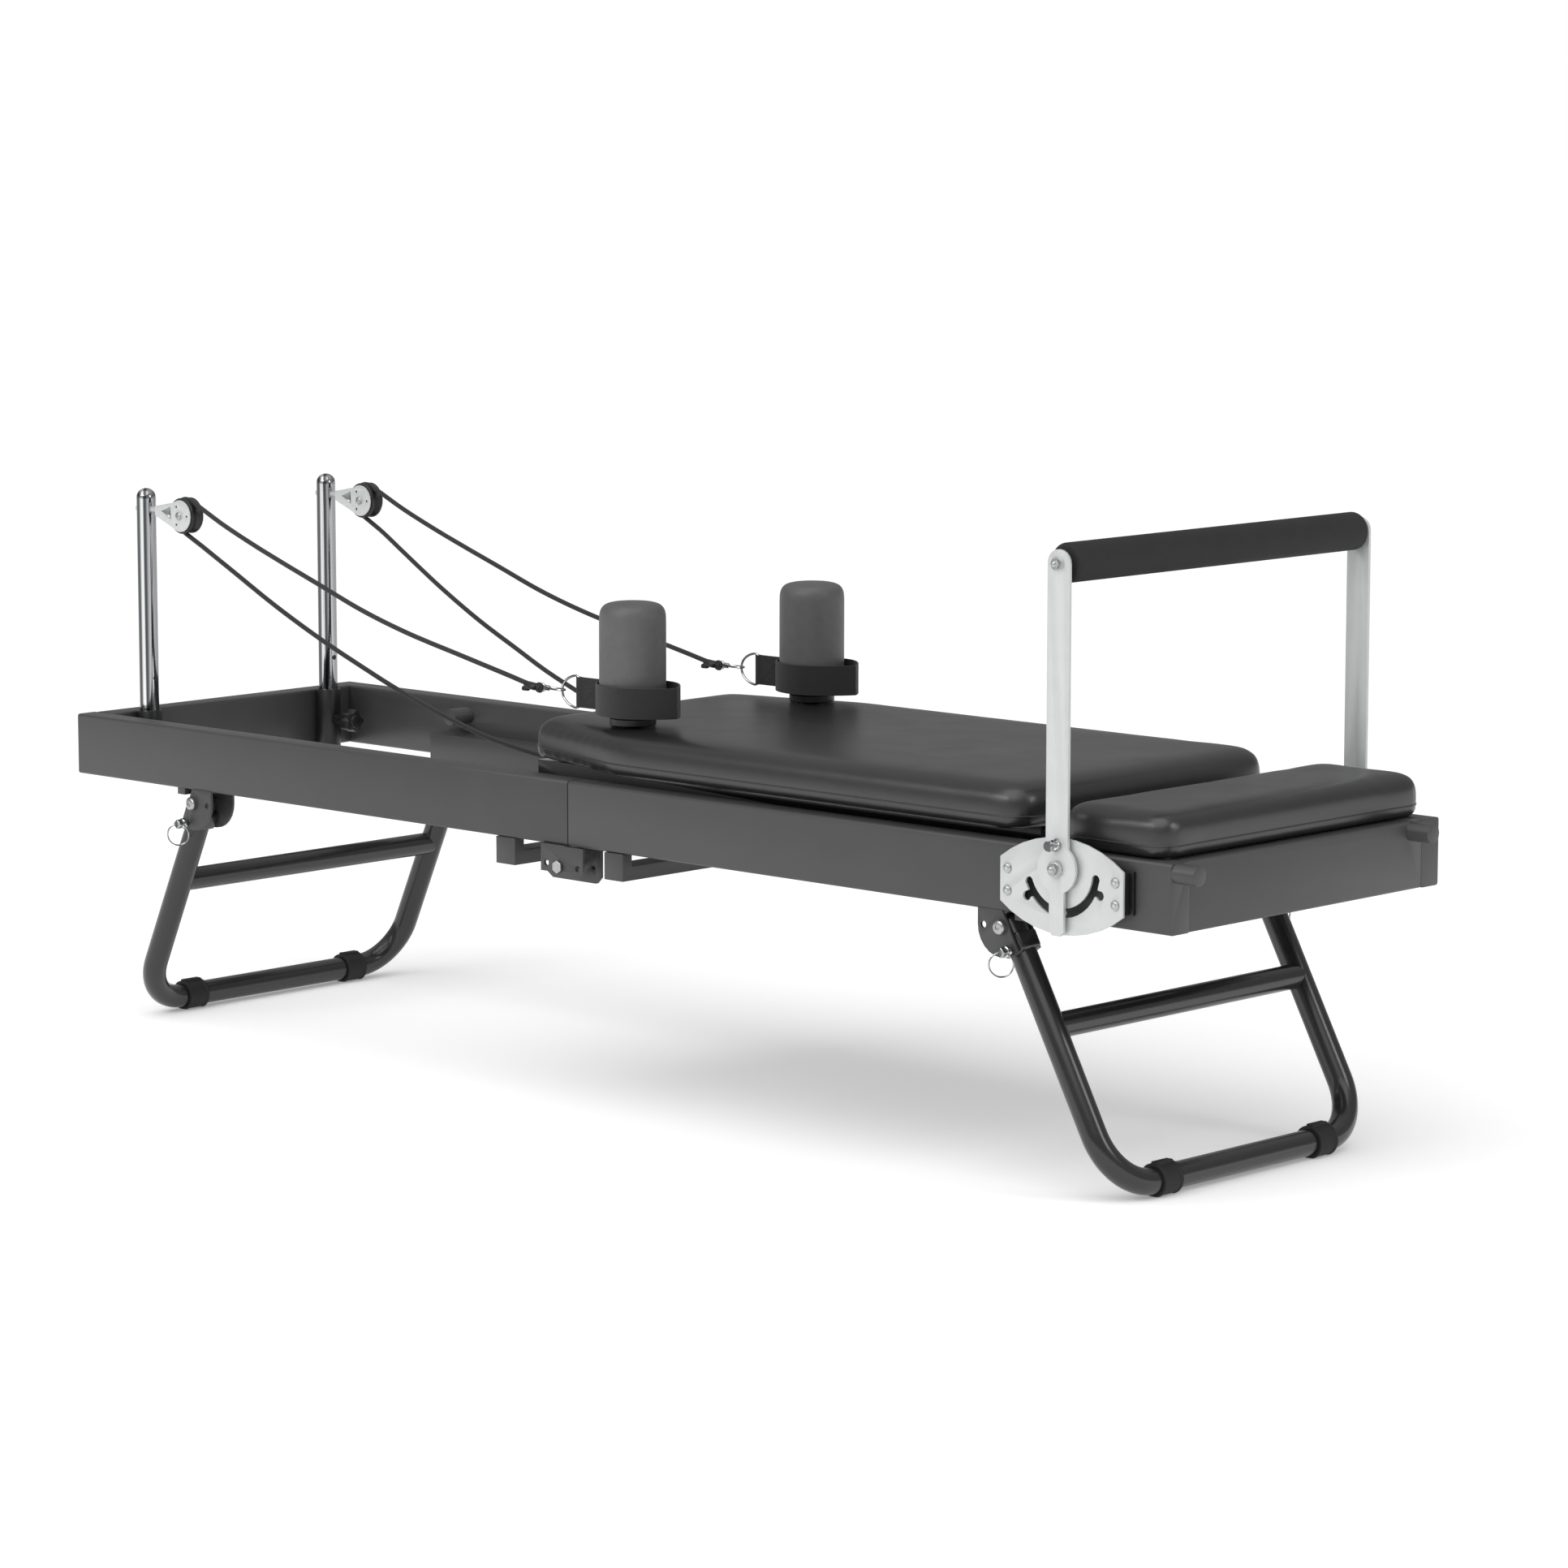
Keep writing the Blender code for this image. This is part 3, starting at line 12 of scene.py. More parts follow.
import bmesh
import bpy
from mathutils import Matrix, Vector
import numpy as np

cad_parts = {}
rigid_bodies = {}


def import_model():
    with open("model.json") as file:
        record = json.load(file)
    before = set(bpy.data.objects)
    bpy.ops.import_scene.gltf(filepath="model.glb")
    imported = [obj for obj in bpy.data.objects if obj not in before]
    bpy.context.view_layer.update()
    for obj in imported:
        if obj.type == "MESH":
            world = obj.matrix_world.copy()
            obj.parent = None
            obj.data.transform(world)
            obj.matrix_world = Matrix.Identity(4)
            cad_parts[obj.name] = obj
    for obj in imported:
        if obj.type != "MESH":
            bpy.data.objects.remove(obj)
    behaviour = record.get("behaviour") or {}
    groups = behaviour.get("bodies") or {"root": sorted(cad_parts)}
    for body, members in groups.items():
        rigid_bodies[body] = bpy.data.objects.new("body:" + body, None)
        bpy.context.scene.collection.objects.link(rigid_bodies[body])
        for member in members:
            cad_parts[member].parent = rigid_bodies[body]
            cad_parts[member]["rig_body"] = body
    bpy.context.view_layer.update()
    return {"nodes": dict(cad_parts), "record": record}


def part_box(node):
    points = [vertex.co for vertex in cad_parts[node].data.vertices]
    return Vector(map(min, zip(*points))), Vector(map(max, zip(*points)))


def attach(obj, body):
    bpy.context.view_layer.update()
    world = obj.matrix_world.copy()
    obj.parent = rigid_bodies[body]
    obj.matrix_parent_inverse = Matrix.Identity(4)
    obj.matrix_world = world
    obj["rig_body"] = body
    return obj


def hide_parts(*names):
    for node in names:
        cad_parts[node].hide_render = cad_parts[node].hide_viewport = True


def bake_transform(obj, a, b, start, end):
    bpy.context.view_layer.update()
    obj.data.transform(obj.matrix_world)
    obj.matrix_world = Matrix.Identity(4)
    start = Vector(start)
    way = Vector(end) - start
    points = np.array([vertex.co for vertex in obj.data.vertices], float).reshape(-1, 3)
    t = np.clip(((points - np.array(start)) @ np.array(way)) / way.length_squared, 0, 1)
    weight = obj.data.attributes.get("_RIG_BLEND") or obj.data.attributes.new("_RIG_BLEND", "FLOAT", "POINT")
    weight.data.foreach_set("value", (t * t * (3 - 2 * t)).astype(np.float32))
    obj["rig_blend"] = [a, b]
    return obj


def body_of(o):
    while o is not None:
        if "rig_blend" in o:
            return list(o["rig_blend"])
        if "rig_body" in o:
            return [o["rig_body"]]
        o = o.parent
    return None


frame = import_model()

# %% [markdown]
# ## Stations
# A frame builder measures along the rail from the head end and up from the rail's top. `at()`
# turns such a station into a point of the model, and `span()` gives a node's limits as stations,
# so that each new piece takes its size from the solid that it dresses.

# %% Stations and sides
HEAD_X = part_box("head_end_rail")[0].x
RAIL_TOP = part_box("head_end_rail")[1].z
SIDES = {"near": -1, "far": 1}


def at(x, y, z):
    """A station: x from the head end, y from the centre line, z from the rail's top."""
    return Vector((HEAD_X + x, y, RAIL_TOP + z))


def span(node):
    """A node's lowest and highest corner, as stations."""
    low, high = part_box(node)
    shift = Vector((HEAD_X, 0, RAIL_TOP))
    return low - shift, high - shift


def middle(node):
    low, high = span(node)
    return (low + high) / 2


HALF_WIDTH = span("foot_rail_far")[1].y
print(f"frame {HALF_WIDTH * 2:.3f} m wide, rail top {RAIL_TOP:.3f} m above the floor")

# %% [markdown]
# ## Camera, floor and light
# A long lens from well back keeps the rails nearly parallel, as in a catalogue picture. The floor
# and the world are both near white, so that the floor's far edge melts away. Two large soft
# boxes give the vinyl its long highlights.

# %% Camera
camera = bpy.data.objects.new("camera", bpy.data.cameras.new("camera"))
camera.location = (5.5691, -5.7553, 1.5977)
camera.rotation_euler = (radians(90 - 8.1129), 0, radians(43.3535))
camera.data.lens = 121.586
camera.data.sensor_width = 36
camera.data.clip_end = 200
bpy.context.scene.collection.objects.link(camera)
bpy.context.scene.camera = camera


# %% Colours and nodes
def linear(code):
    """An sRGB hex colour as the linear colour that a shader wants."""
    channels = [int(code[i:i + 2], 16) / 255 for i in (1, 3, 5)]
    return (*[c / 12.92 if c <= 0.04045 else ((c + 0.055) / 1.055) ** 2.4 for c in channels], 1.0)


def add(tree, kind, sockets=None, **settings):
    """Add one node, give it its settings, then set or link its sockets."""
    made = tree.nodes.new(kind)
    for key, value in settings.items():
        setattr(made, key, value)
    for key, value in (sockets or {}).items():
        if isinstance(value, bpy.types.NodeSocket):
            tree.links.new(value, made.inputs[key])
        else:
            made.inputs[key].default_value = value
    return made


def new_material(name):
    """An empty material: its tree and its Principled shader."""
    material = bpy.data.materials.new(name)
    material.use_nodes = True
    tree = material.node_tree
    return material, tree, tree.nodes["Principled BSDF"]


# %% Floor, world and lights
def build_stage():
    material, _, shader = new_material("matt_white_floor")
    shader.inputs["Base Color"].default_value = linear("#fbfbfb")
    shader.inputs["Roughness"].default_value = 1.0
    shader.inputs["Specular IOR Level"].default_value = 0.0
    shader.inputs["Emission Color"].default_value = (1, 1, 1, 1)
    shader.inputs["Emission Strength"].default_value = 0.22
    bm = bmesh.new()
    bmesh.ops.create_circle(bm, cap_ends=True, segments=64, radius=60)
    mesh = bpy.data.meshes.new("floor")
    bm.to_mesh(mesh)
    bm.free()
    mesh.materials.append(material)
    floor = bpy.data.objects.new("floor", mesh)
    floor.location.z = -0.0008
    bpy.context.scene.collection.objects.link(floor)


def build_world():
    """White at the horizon, grey above it and paler again overhead; stops run by sine of height."""
    world = bpy.data.worlds.new("studio")
    world.use_nodes = True
    tree = world.node_tree
    way = add(tree, "ShaderNodeTexCoord").outputs["Generated"]
    height = add(tree, "ShaderNodeSeparateXYZ", {"Vector": way}).outputs["Z"]
    ramp = add(tree, "ShaderNodeValToRGB", {"Fac": height})
    stops = ramp.color_ramp.elements
    stops[0].position, stops[0].color = 0.0, (1, 1, 1, 1)
    stops[1].position, stops[1].color = 1.0, (0.62, 0.62, 0.62, 1)
    for place, grey in ((0.018, 1.0), (0.06, 0.30), (0.45, 0.34)):
        stops.new(place).color = (grey, grey, grey, 1)
    sky = tree.nodes["Background"]
    tree.links.new(ramp.outputs["Color"], sky.inputs["Color"])
    sky.inputs["Strength"].default_value = 1.0
    bpy.context.scene.world = world


def build_lights():
    sun = bpy.data.objects.new("soft_sun", bpy.data.lights.new("soft_sun", "SUN"))
    sun.data.energy = 1.35
    sun.data.angle = radians(70)
    sun.rotation_euler = (radians(28), radians(12), 0)
    bpy.context.scene.collection.objects.link(sun)
    for name, place, aim, size, watts in (
            ("key_box", (-0.6, -3.6, 2.6), (-0.2, 0, 0.45), (3.2, 1.0), 42),
            ("end_box", (4.2, 0.6, 2.2), (0.9, 0, 0.4), (1.2, 1.4), 22)):
        light = bpy.data.objects.new(name, bpy.data.lights.new(name, "AREA"))
        light.data.shape = "RECTANGLE"
        light.data.size, light.data.size_y = size
        light.data.energy = watts
        light.location = place
        light.rotation_euler = (Vector(aim) - Vector(place)).to_track_quat("-Z", "Y").to_euler()
        bpy.context.scene.collection.objects.link(light)


build_stage()
build_world()
build_lights()
bpy.context.scene.view_settings.view_transform = "Standard"

# %% [markdown]
# ## Finishes
# Each surface of the machine is one of a few real finishes; the chrome's colour also holds a
# painted reflection. All of their patterns read Object coordinates in metres, so a scale of
# 1 / 0.001 is one cell for each millimetre.


# %% A shared surface recipe
def grain(tree, size, detail=2.0, kind="ShaderNodeTexNoise"):
    """A noise with cells of a real size in metres, on Object coordinates."""
    place = add(tree, "ShaderNodeTexCoord")
    settings = {"Scale": 1 / size}
    if kind == "ShaderNodeTexNoise":
        settings["Detail"] = detail
    return add(tree, kind, {"Vector": place.outputs["Object"], **settings})


def shade_between(tree, factor, dark, light):
    """A colour that wanders between two hex colours."""
    mix = add(tree, "ShaderNodeMix", {0: factor}, data_type="RGBA")
    mix.inputs["A"].default_value = linear(dark)
    mix.inputs["B"].default_value = linear(light)
    return mix.outputs["Result"]


def spread(tree, value, low, high):
    """Rescale a 0 to 1 value to a narrower band."""
    return add(tree, "ShaderNodeMapRange", {"Value": value, "To Min": low, "To Max": high}).outputs["Result"]


def bump(tree, height, depth, strength=1.0):
    """A relief of a real depth in metres."""
    return add(tree, "ShaderNodeBump", {"Height": height, "Distance": depth, "Strength": strength}).outputs["Normal"]


def surface(name, dark, light, rough, metallic=0.0, patch=0.05, grit=0.0008, relief=0.00004, coat=0.0):
    """A painted, plated or moulded surface: patchy colour and roughness over a fine grit."""
    material, tree, shader = new_material(name)
    patches = grain(tree, patch, 3.0).outputs["Fac"]
    fine = grain(tree, grit, 2.0).outputs["Fac"]
    tree.links.new(shade_between(tree, patches, dark, light), shader.inputs["Base Color"])
    tree.links.new(spread(tree, patches, *rough), shader.inputs["Roughness"])
    tree.links.new(bump(tree, fine, relief), shader.inputs["Normal"])
    shader.inputs["Metallic"].default_value = metallic
    shader.inputs["Coat Weight"].default_value = coat
    shader.inputs["Coat Roughness"].default_value = 0.12
    return material


# %% [markdown]
# Powder coat is plastic dust baked onto steel: satin, with an orange-peel relief about a
# millimetre across. Gloss paint is thinner and wetter. The silver of the side plates is a paint
# with aluminium flake. Chrome is a thin hard mirror with no relief. A white room would leave it
# white, so a painted reflection goes into its colour: the dark and pale bands of a furnished room,
# chosen by the way that its surface faces. Zinc plate is duller and slightly mottled.

# %% Metals and paints
POWDER = surface("powder_coated_steel", "#3a3a3b", "#434344", (0.38, 0.46), patch=0.09, grit=0.0012, relief=0.00006)
GLOSS = surface("black_gloss_enamel", "#1d1d1e", "#242425", (0.20, 0.28), patch=0.07, relief=0.00002, coat=0.3)
SILVER = surface("silver_flake_paint", "#c3c6c6", "#cfd1d0", (0.30, 0.38), metallic=0.25, patch=0.03, grit=0.0005,
                 relief=0.00002)
# Painted reflection: the dark and pale bands of a furnished room, put into the chrome's colour by where its surface
# faces.
PAINTED_REFLECTION_STREAKS = ((0.18, "#5f6163"), (0.26, "#e9eaeb"), (0.36, "#f0f1f1"), (0.42, "#4b4d4f"), (0.52, "#55585a"),
                  (0.60, "#a6a8a9"), (0.74, "#bfc1c2"), (0.88, "#9b9d9e"))
PAINTED_REFLECTION_AXIS = (0.727, 0.686, 0.0)  # level, and across the main view, for which it is tuned


def painted_reflection_chrome_material():
    """A hard mirror with a painted reflection: its colour runs through dark and pale bands as the surface turns along
    one axis.
    """
    material, tree, shader = new_material("chromed_steel_painted_reflection")
    facing = add(tree, "ShaderNodeTexCoord").outputs["Normal"]
    across = add(tree, "ShaderNodeVectorMath", {0: facing, 1: PAINTED_REFLECTION_AXIS}, operation="DOT_PRODUCT")
    place = add(tree, "ShaderNodeMath", {0: across.outputs["Value"], 1: 0.5, 2: 0.5}, operation="MULTIPLY_ADD")
    # Painted reflection: a colour ramp read by which way the surface faces.
    reflection_ramp = add(tree, "ShaderNodeValToRGB", {"Fac": place.outputs["Value"]})
    stops = reflection_ramp.color_ramp.elements
    stops[0].position, stops[0].color = 0.0, linear("#4c4e50")
    stops[1].position, stops[1].color = 1.0, linear("#8e9092")
    for spot, code in PAINTED_REFLECTION_STREAKS:
        stops.new(spot).color = linear(code)
    tree.links.new(reflection_ramp.outputs["Color"], shader.inputs["Base Color"])
    shader.inputs["Metallic"].default_value = 1.0
    shader.inputs["Roughness"].default_value = 0.08
    return material


# Chrome whose base colour carries a painted reflection.
PAINTED_REFLECTION_CHROME = painted_reflection_chrome_material()
ZINC = surface("zinc_plated_steel", "#a4a5a5", "#bcbdbd", (0.26, 0.38), metallic=1.0, patch=0.006, relief=0.00001)
SPRING_WIRE = surface("bright_spring_steel", "#8c8d8f", "#a2a3a4", (0.22, 0.32), metallic=1.0, patch=0.004)

# %% [markdown]
# Moulded ABS takes a faint spark grain from its steel tool. Vulcanised rubber is matt and a
# little dusty. Foam grip is a skin of tiny burst bubbles, drawn here 1.2 mm across so that it
# shows. The bubbles are Voronoi cells, deepest at their middles.

# %% Plastics, rubber and foam
ABS = surface("moulded_black_abs", "#101011", "#171718", (0.34, 0.44), patch=0.02, grit=0.0006, relief=0.00003)
RUBBER = surface("black_rubber", "#151515", "#1e1e1e", (0.62, 0.78), patch=0.015, grit=0.0009, relief=0.00008)


def foam_rubber():
    material, tree, shader = new_material("foam_rubber_grip")
    cells = grain(tree, 0.0012, kind="ShaderNodeTexVoronoi").outputs["Distance"]
    patches = grain(tree, 0.03, 3.0).outputs["Fac"]
    tree.links.new(shade_between(tree, patches, "#19191a", "#222223"), shader.inputs["Base Color"])
    tree.links.new(bump(tree, cells, 0.00012), shader.inputs["Normal"])
    shader.inputs["Roughness"].default_value = 0.82
    return material


FOAM = foam_rubber()

# %% [markdown]
# Upholstery vinyl is PVC on a knitted back, embossed with a leather pebble. The pebble is
# Voronoi cells about 1.6 mm across with soft valleys, under a slow unevenness a hand's breadth
# wide, which makes its long reflections swim a little.


# %% Vinyl
def vinyl(name, dark, light, rough, specular=0.5):
    material, tree, shader = new_material(name)
    pebble = grain(tree, 0.0016, kind="ShaderNodeTexVoronoi").outputs["Distance"]
    slow = grain(tree, 0.09, 2.0).outputs["Fac"]
    fine = grain(tree, 0.012, 4.0).outputs["Fac"]
    tree.links.new(shade_between(tree, fine, dark, light), shader.inputs["Base Color"])
    tree.links.new(spread(tree, slow, *rough), shader.inputs["Roughness"])
    soft = bump(tree, slow, 0.0022, 0.35)
    relief = add(tree, "ShaderNodeBump", {"Height": pebble, "Distance": 0.00010, "Strength": 0.8, "Normal": soft})
    tree.links.new(relief.outputs["Normal"], shader.inputs["Normal"])
    shader.inputs["Specular IOR Level"].default_value = specular
    return material


PAD_VINYL = vinyl("black_upholstery_vinyl", "#19191a", "#1f1f20", (0.28, 0.38), 0.8)
REST_VINYL = vinyl("grey_upholstery_vinyl", "#4f4f50", "#5a5a5b", (0.44, 0.54))

# %% [markdown]
# Webbing and rope are patterns that follow the piece, so they read its UV map: u is metres along
# the strap or rope, v is metres across the webbing, or turns round the rope. Nylon webbing shows
# fine ribs every 1.6 mm. A braided rope shows strands that cross each other.


# %% Webbing and rope
def wave(tree, vector, scale, turn=0.0, kind="SIN"):
    """Parallel ridges across a vector, turned by an angle."""
    mapped = add(tree, "ShaderNodeMapping", {"Vector": vector, "Rotation": (0, 0, turn)})
    return add(tree, "ShaderNodeTexWave", {"Vector": mapped.outputs["Vector"], "Scale": scale},
               wave_profile=kind).outputs["Fac"]


def woven(name, dark, light, scale_u, scale_v, turn_u, turn_v, depth):
    """Two crossing sets of ridges on the UV map."""
    material, tree, shader = new_material(name)
    uv = add(tree, "ShaderNodeUVMap", uv_map="weave").outputs["UV"]
    one, two = wave(tree, uv, scale_u, turn_u), wave(tree, uv, scale_v, turn_v)
    height = add(tree, "ShaderNodeMath", {0: one, 1: two}, operation="MAXIMUM").outputs["Value"]
    tree.links.new(shade_between(tree, height, dark, light), shader.inputs["Base Color"])
    tree.links.new(bump(tree, height, depth), shader.inputs["Normal"])
    shader.inputs["Roughness"].default_value = 0.8
    shader.inputs["Sheen Weight"].default_value = 0.15
    return material


WAVE_PER_METRE = 2 * pi / 20       # a Wave texture at scale 1 has a ridge every 2 pi / 20 units
WEBBING = woven("nylon_webbing", "#0b0b0c", "#1b1b1c", WAVE_PER_METRE / 0.0016, WAVE_PER_METRE / 0.0024, 0, pi / 2,
                0.0003)
ROPE = woven("braided_polyester_rope", "#0e0e0f", "#252526", WAVE_PER_METRE / 0.0034, WAVE_PER_METRE / 0.0034,
             radians(40), radians(-40), 0.0005)
THREAD = surface("sewing_thread", "#262627", "#333334", (0.6, 0.7), patch=0.002, grit=0.0004)

# %% [markdown]
# ## Shape helpers
# `made()` turns a bmesh into a finished piece: it is smoothed, sits at the origin with its place
# in its mesh, rides on a body and stands for the solids it replaces. `sleeve()` makes any round
# tube by pushing a ring of edges along a path, `turned()` spins a profile and `slab()` pushes an
# outline.


# %% Finish a piece
def made(name, bm, material, body, slot, replaces=(), angle=35, ride=True, normals=True):
    if normals:
        bmesh.ops.remove_doubles(bm, verts=bm.verts, dist=1e-6)
        bmesh.ops.recalc_face_normals(bm, faces=bm.faces)
    mesh = bpy.data.meshes.new(name)
    bm.to_mesh(mesh)
    bm.free()
    mesh.materials.append(material)
    mesh.shade_smooth()
    mesh.set_sharp_from_angle(angle=radians(angle))
    piece = bpy.data.objects.new(name, mesh)
    bpy.context.scene.collection.objects.link(piece)
    if ride:
        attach(piece, body)
    if replaces:
        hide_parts(*replaces)
    return piece


def joined(*parts):
    """Several bmeshes as one, each still its own closed shell."""
    whole = bmesh.new()
    for part in parts:
        mesh = bpy.data.meshes.new("part")
        part.to_mesh(mesh)
        part.free()
        whole.from_mesh(mesh)
        bpy.data.meshes.remove(mesh)
    return whole


# %% Tubes along a path
def grow_ring(bm, edges, order):
    """Extrude a ring of edges; give the new ring's verts in the old ring's order, and its edges."""
    grown = bmesh.ops.extrude_edge_only(bm, edges=edges)["geom"]
    fresh = {g for g in grown if isinstance(g, bmesh.types.BMVert)}
    rank = {vert: k for k, vert in enumerate(order)}
    ring = [None] * len(order)
    for vert in fresh:
        for edge in vert.link_edges:
            if edge.other_vert(vert) in rank:
                ring[rank[edge.other_vert(vert)]] = vert
    return ring, [g for g in grown if isinstance(g, bmesh.types.BMEdge) and all(v in fresh for v in g.verts)]


def sleeve(path, radius, sides=24, widths=None, closed=False, weave=False, squeeze=1.0):
    """Push a ring of edges along a path of points, turning it as little as possible."""
    path = [Vector(point) for point in path]
    count = len(path)
    bm = bmesh.new()
    ring = bmesh.ops.create_circle(bm, cap_ends=False, segments=sides, radius=radius)["verts"]
    shape = [Vector((v.co.x, v.co.y * squeeze, 0)) for v in ring]
    edges, rings, turn, before = list(bm.edges), [], None, None
    for index, point in enumerate(path):
        ahead = path[(index + 1) % count] if closed or index + 1 < count else point
        behind = path[index - 1] if closed or index else point
        way = (ahead - behind).normalized()
        if turn is None:
            turn = way.to_track_quat("Z", "Y").to_matrix()
        else:
            turn = before.rotation_difference(way).to_matrix() @ turn
            ring, edges = grow_ring(bm, edges, ring)
        before = way
        width = widths[index] if widths else 1.0
        for vert, corner in zip(ring, shape):
            vert.co = point + turn @ (corner * width)
        rings.append(ring)
    if weave:
        map_weave(bm, rings, path, sides)
    rim = [e for e in bm.edges if e.is_boundary]
    if closed:
        bmesh.ops.bridge_loops(bm, edges=rim)
    else:
        bmesh.ops.holes_fill(bm, edges=rim, sides=0)
    return bm


def map_weave(bm, rings, path, sides):
    """UV: metres along the path, and metres round the tube."""
    along, total = [0.0], 0.0
    for start, end in zip(path, path[1:]):
        total += (end - start).length
        along.append(total)
    place = {vert: (along[i], k) for i, ring in enumerate(rings) for k, vert in enumerate(ring)}
    girth = 2 * pi * (rings[0][0].co - path[0]).length
    layer = bm.loops.layers.uv.new("weave")
    for face in bm.faces:
        steps = [place[loop.vert][1] for loop in face.loops]
        wraps = max(steps) - min(steps) > sides / 2
        for loop in face.loops:
            u, k = place[loop.vert]
            if wraps and k < sides / 2:
                k += sides
            loop[layer].uv = (u, girth * k / sides)


# %% Turned and pushed shapes
def turned(profile, centre, axis=(0, 0, 1), steps=48, bored=False):
    """Spin a (radius, height) profile about an axis through a centre."""
    bm = bmesh.new()
    verts = [bm.verts.new((radius, 0, height)) for radius, height in profile]
    edges = [bm.edges.new(pair) for pair in zip(verts, verts[1:])]
    if bored:
        edges.append(bm.edges.new((verts[-1], verts[0])))
    bmesh.ops.spin(bm, geom=verts + edges, cent=(0, 0, 0), axis=(0, 0, 1), angle=2 * pi, steps=steps,
                   use_merge=True)
    bmesh.ops.remove_doubles(bm, verts=bm.verts, dist=1e-6)
    bmesh.ops.recalc_face_normals(bm, faces=bm.faces)
    turn = Vector((0, 0, 1)).rotation_difference(Vector(axis)).to_matrix()
    bmesh.ops.rotate(bm, verts=bm.verts, cent=(0, 0, 0), matrix=turn)
    bmesh.ops.translate(bm, verts=bm.verts, vec=centre)
    return bm


def slab(outline, axis, limits, round_edge=0.0, segments=2):
    """Push a flat outline along an axis and ease its edges."""
    low, high = sorted(limits)
    along = "XYZ".index(axis)
    bm = bmesh.new()
    corners = []
    for point in outline:
        place = list(point)
        place.insert(along, low)
        corners.append(bm.verts.new(place))
    grown = bmesh.ops.extrude_face_region(bm, geom=[bm.faces.new(corners)])["geom"]
    push = Vector((0, 0, 0))
    push[along] = high - low
    bmesh.ops.translate(bm, verts=[g for g in grown if isinstance(g, bmesh.types.BMVert)], vec=push)
    bmesh.ops.recalc_face_normals(bm, faces=bm.faces)
    if round_edge:
        rim = [e for e in bm.edges if e.calc_face_angle(0) > radians(50)]
        bmesh.ops.bevel(bm, geom=rim, offset=round_edge, segments=segments, profile=0.5, affect="EDGES",
                        material=-1, clamp_overlap=True)
    return bm


def placed(bm):
    """Move a shape made in stations to its place in the model."""
    bmesh.ops.translate(bm, verts=bm.verts, vec=(HEAD_X, 0, RAIL_TOP))
    return bm


def arc(centre, radius, start, end, steps):
    return [(centre[0] + radius * cos(start + (end - start) * i / steps),
             centre[1] + radius * sin(start + (end - start) * i / steps)) for i in range(steps + 1)]


# %% [markdown]
# ## Ropes
# Each rope starts at an anchor under the carriage, runs up to the pulley on its post, goes round
# the wheel's groove and comes back to a snap hook in the hand strap's ring. It hangs in a slack
# curve. The route is a few points at measured places, and a smooth curve through them is read
# every few millimetres, so that the tube bends without corners. Between the pulley and the hook
# the rope belongs half to the frame and half to the carriage, so it is blended across the slide.

# %% Rope route
ROPE_RADIUS = 0.0038
UPPER_ROUTE = ((0.9835, 0.196, 0.1180), (0.9580, 0.196, 0.1205), (0.9100, 0.196, 0.1305), (0.8108, 0.196, 0.1510),
               (0.6803, 0.196, 0.1783), (0.5793, 0.196, 0.2051), (0.4787, 0.196, 0.2385), (0.3900, 0.196, 0.2680),
               (0.3220, 0.196, 0.2915), (0.2500, 0.196, 0.3185))
LOWER_ROUTE = ((0.2000, 0.194, 0.2775), (0.2613, 0.189, 0.2451), (0.3570, 0.182, 0.1950), (0.4535, 0.175, 0.1498),
               (0.5478, 0.169, 0.1110), (0.6260, 0.163, 0.0802), (0.7355, 0.156, 0.0440), (0.8046, 0.152, 0.0244),
               (0.8891, 0.146, 0.0080), (0.9550, 0.137, -0.0014), (0.9845, 0.135, -0.0030))
WHEEL = middle("pulley_wheel_far")
WRAP = [(x, WHEEL.y, z) for x, z in arc((WHEEL.x, WHEEL.z), 0.0268, radians(70), radians(238), 8)]


def between(first, second, t, low, high):
    """The point at time t on the line that is at first at time low and at second at time high."""
    return first * ((high - t) / (high - low)) + second * ((t - low) / (high - low))


def smooth_route(route, spacing):
    """Points read from a smooth curve (centripetal Catmull-Rom) through a route's points."""
    knots = [Vector(point) for point in route]
    knots = [2 * knots[0] - knots[1]] + knots + [2 * knots[-1] - knots[-2]]
    points = []
    for four in zip(knots, knots[1:], knots[2:], knots[3:]):
        times = [0.0]
        for start, end in zip(four, four[1:]):
            times.append(times[-1] + (end - start).length ** 0.5)
        steps = max(1, ceil((four[2] - four[1]).length / spacing))
        for i in range(steps):
            t = times[1] + (times[2] - times[1]) * i / steps
            first = [between(four[k], four[k + 1], t, times[k], times[k + 1]) for k in range(3)]
            second = [between(first[k], first[k + 1], t, times[k], times[k + 2]) for k in range(2)]
            points.append(between(second[0], second[1], t, times[1], times[2]))
    points.append(knots[-2])
    return points


# %% [markdown]
# At the hook the rope's end is doubled back through the hook's eye and clamped in a black crimp,
# with a short tail left over. The hook itself is a sprung wire loop on a swivel.


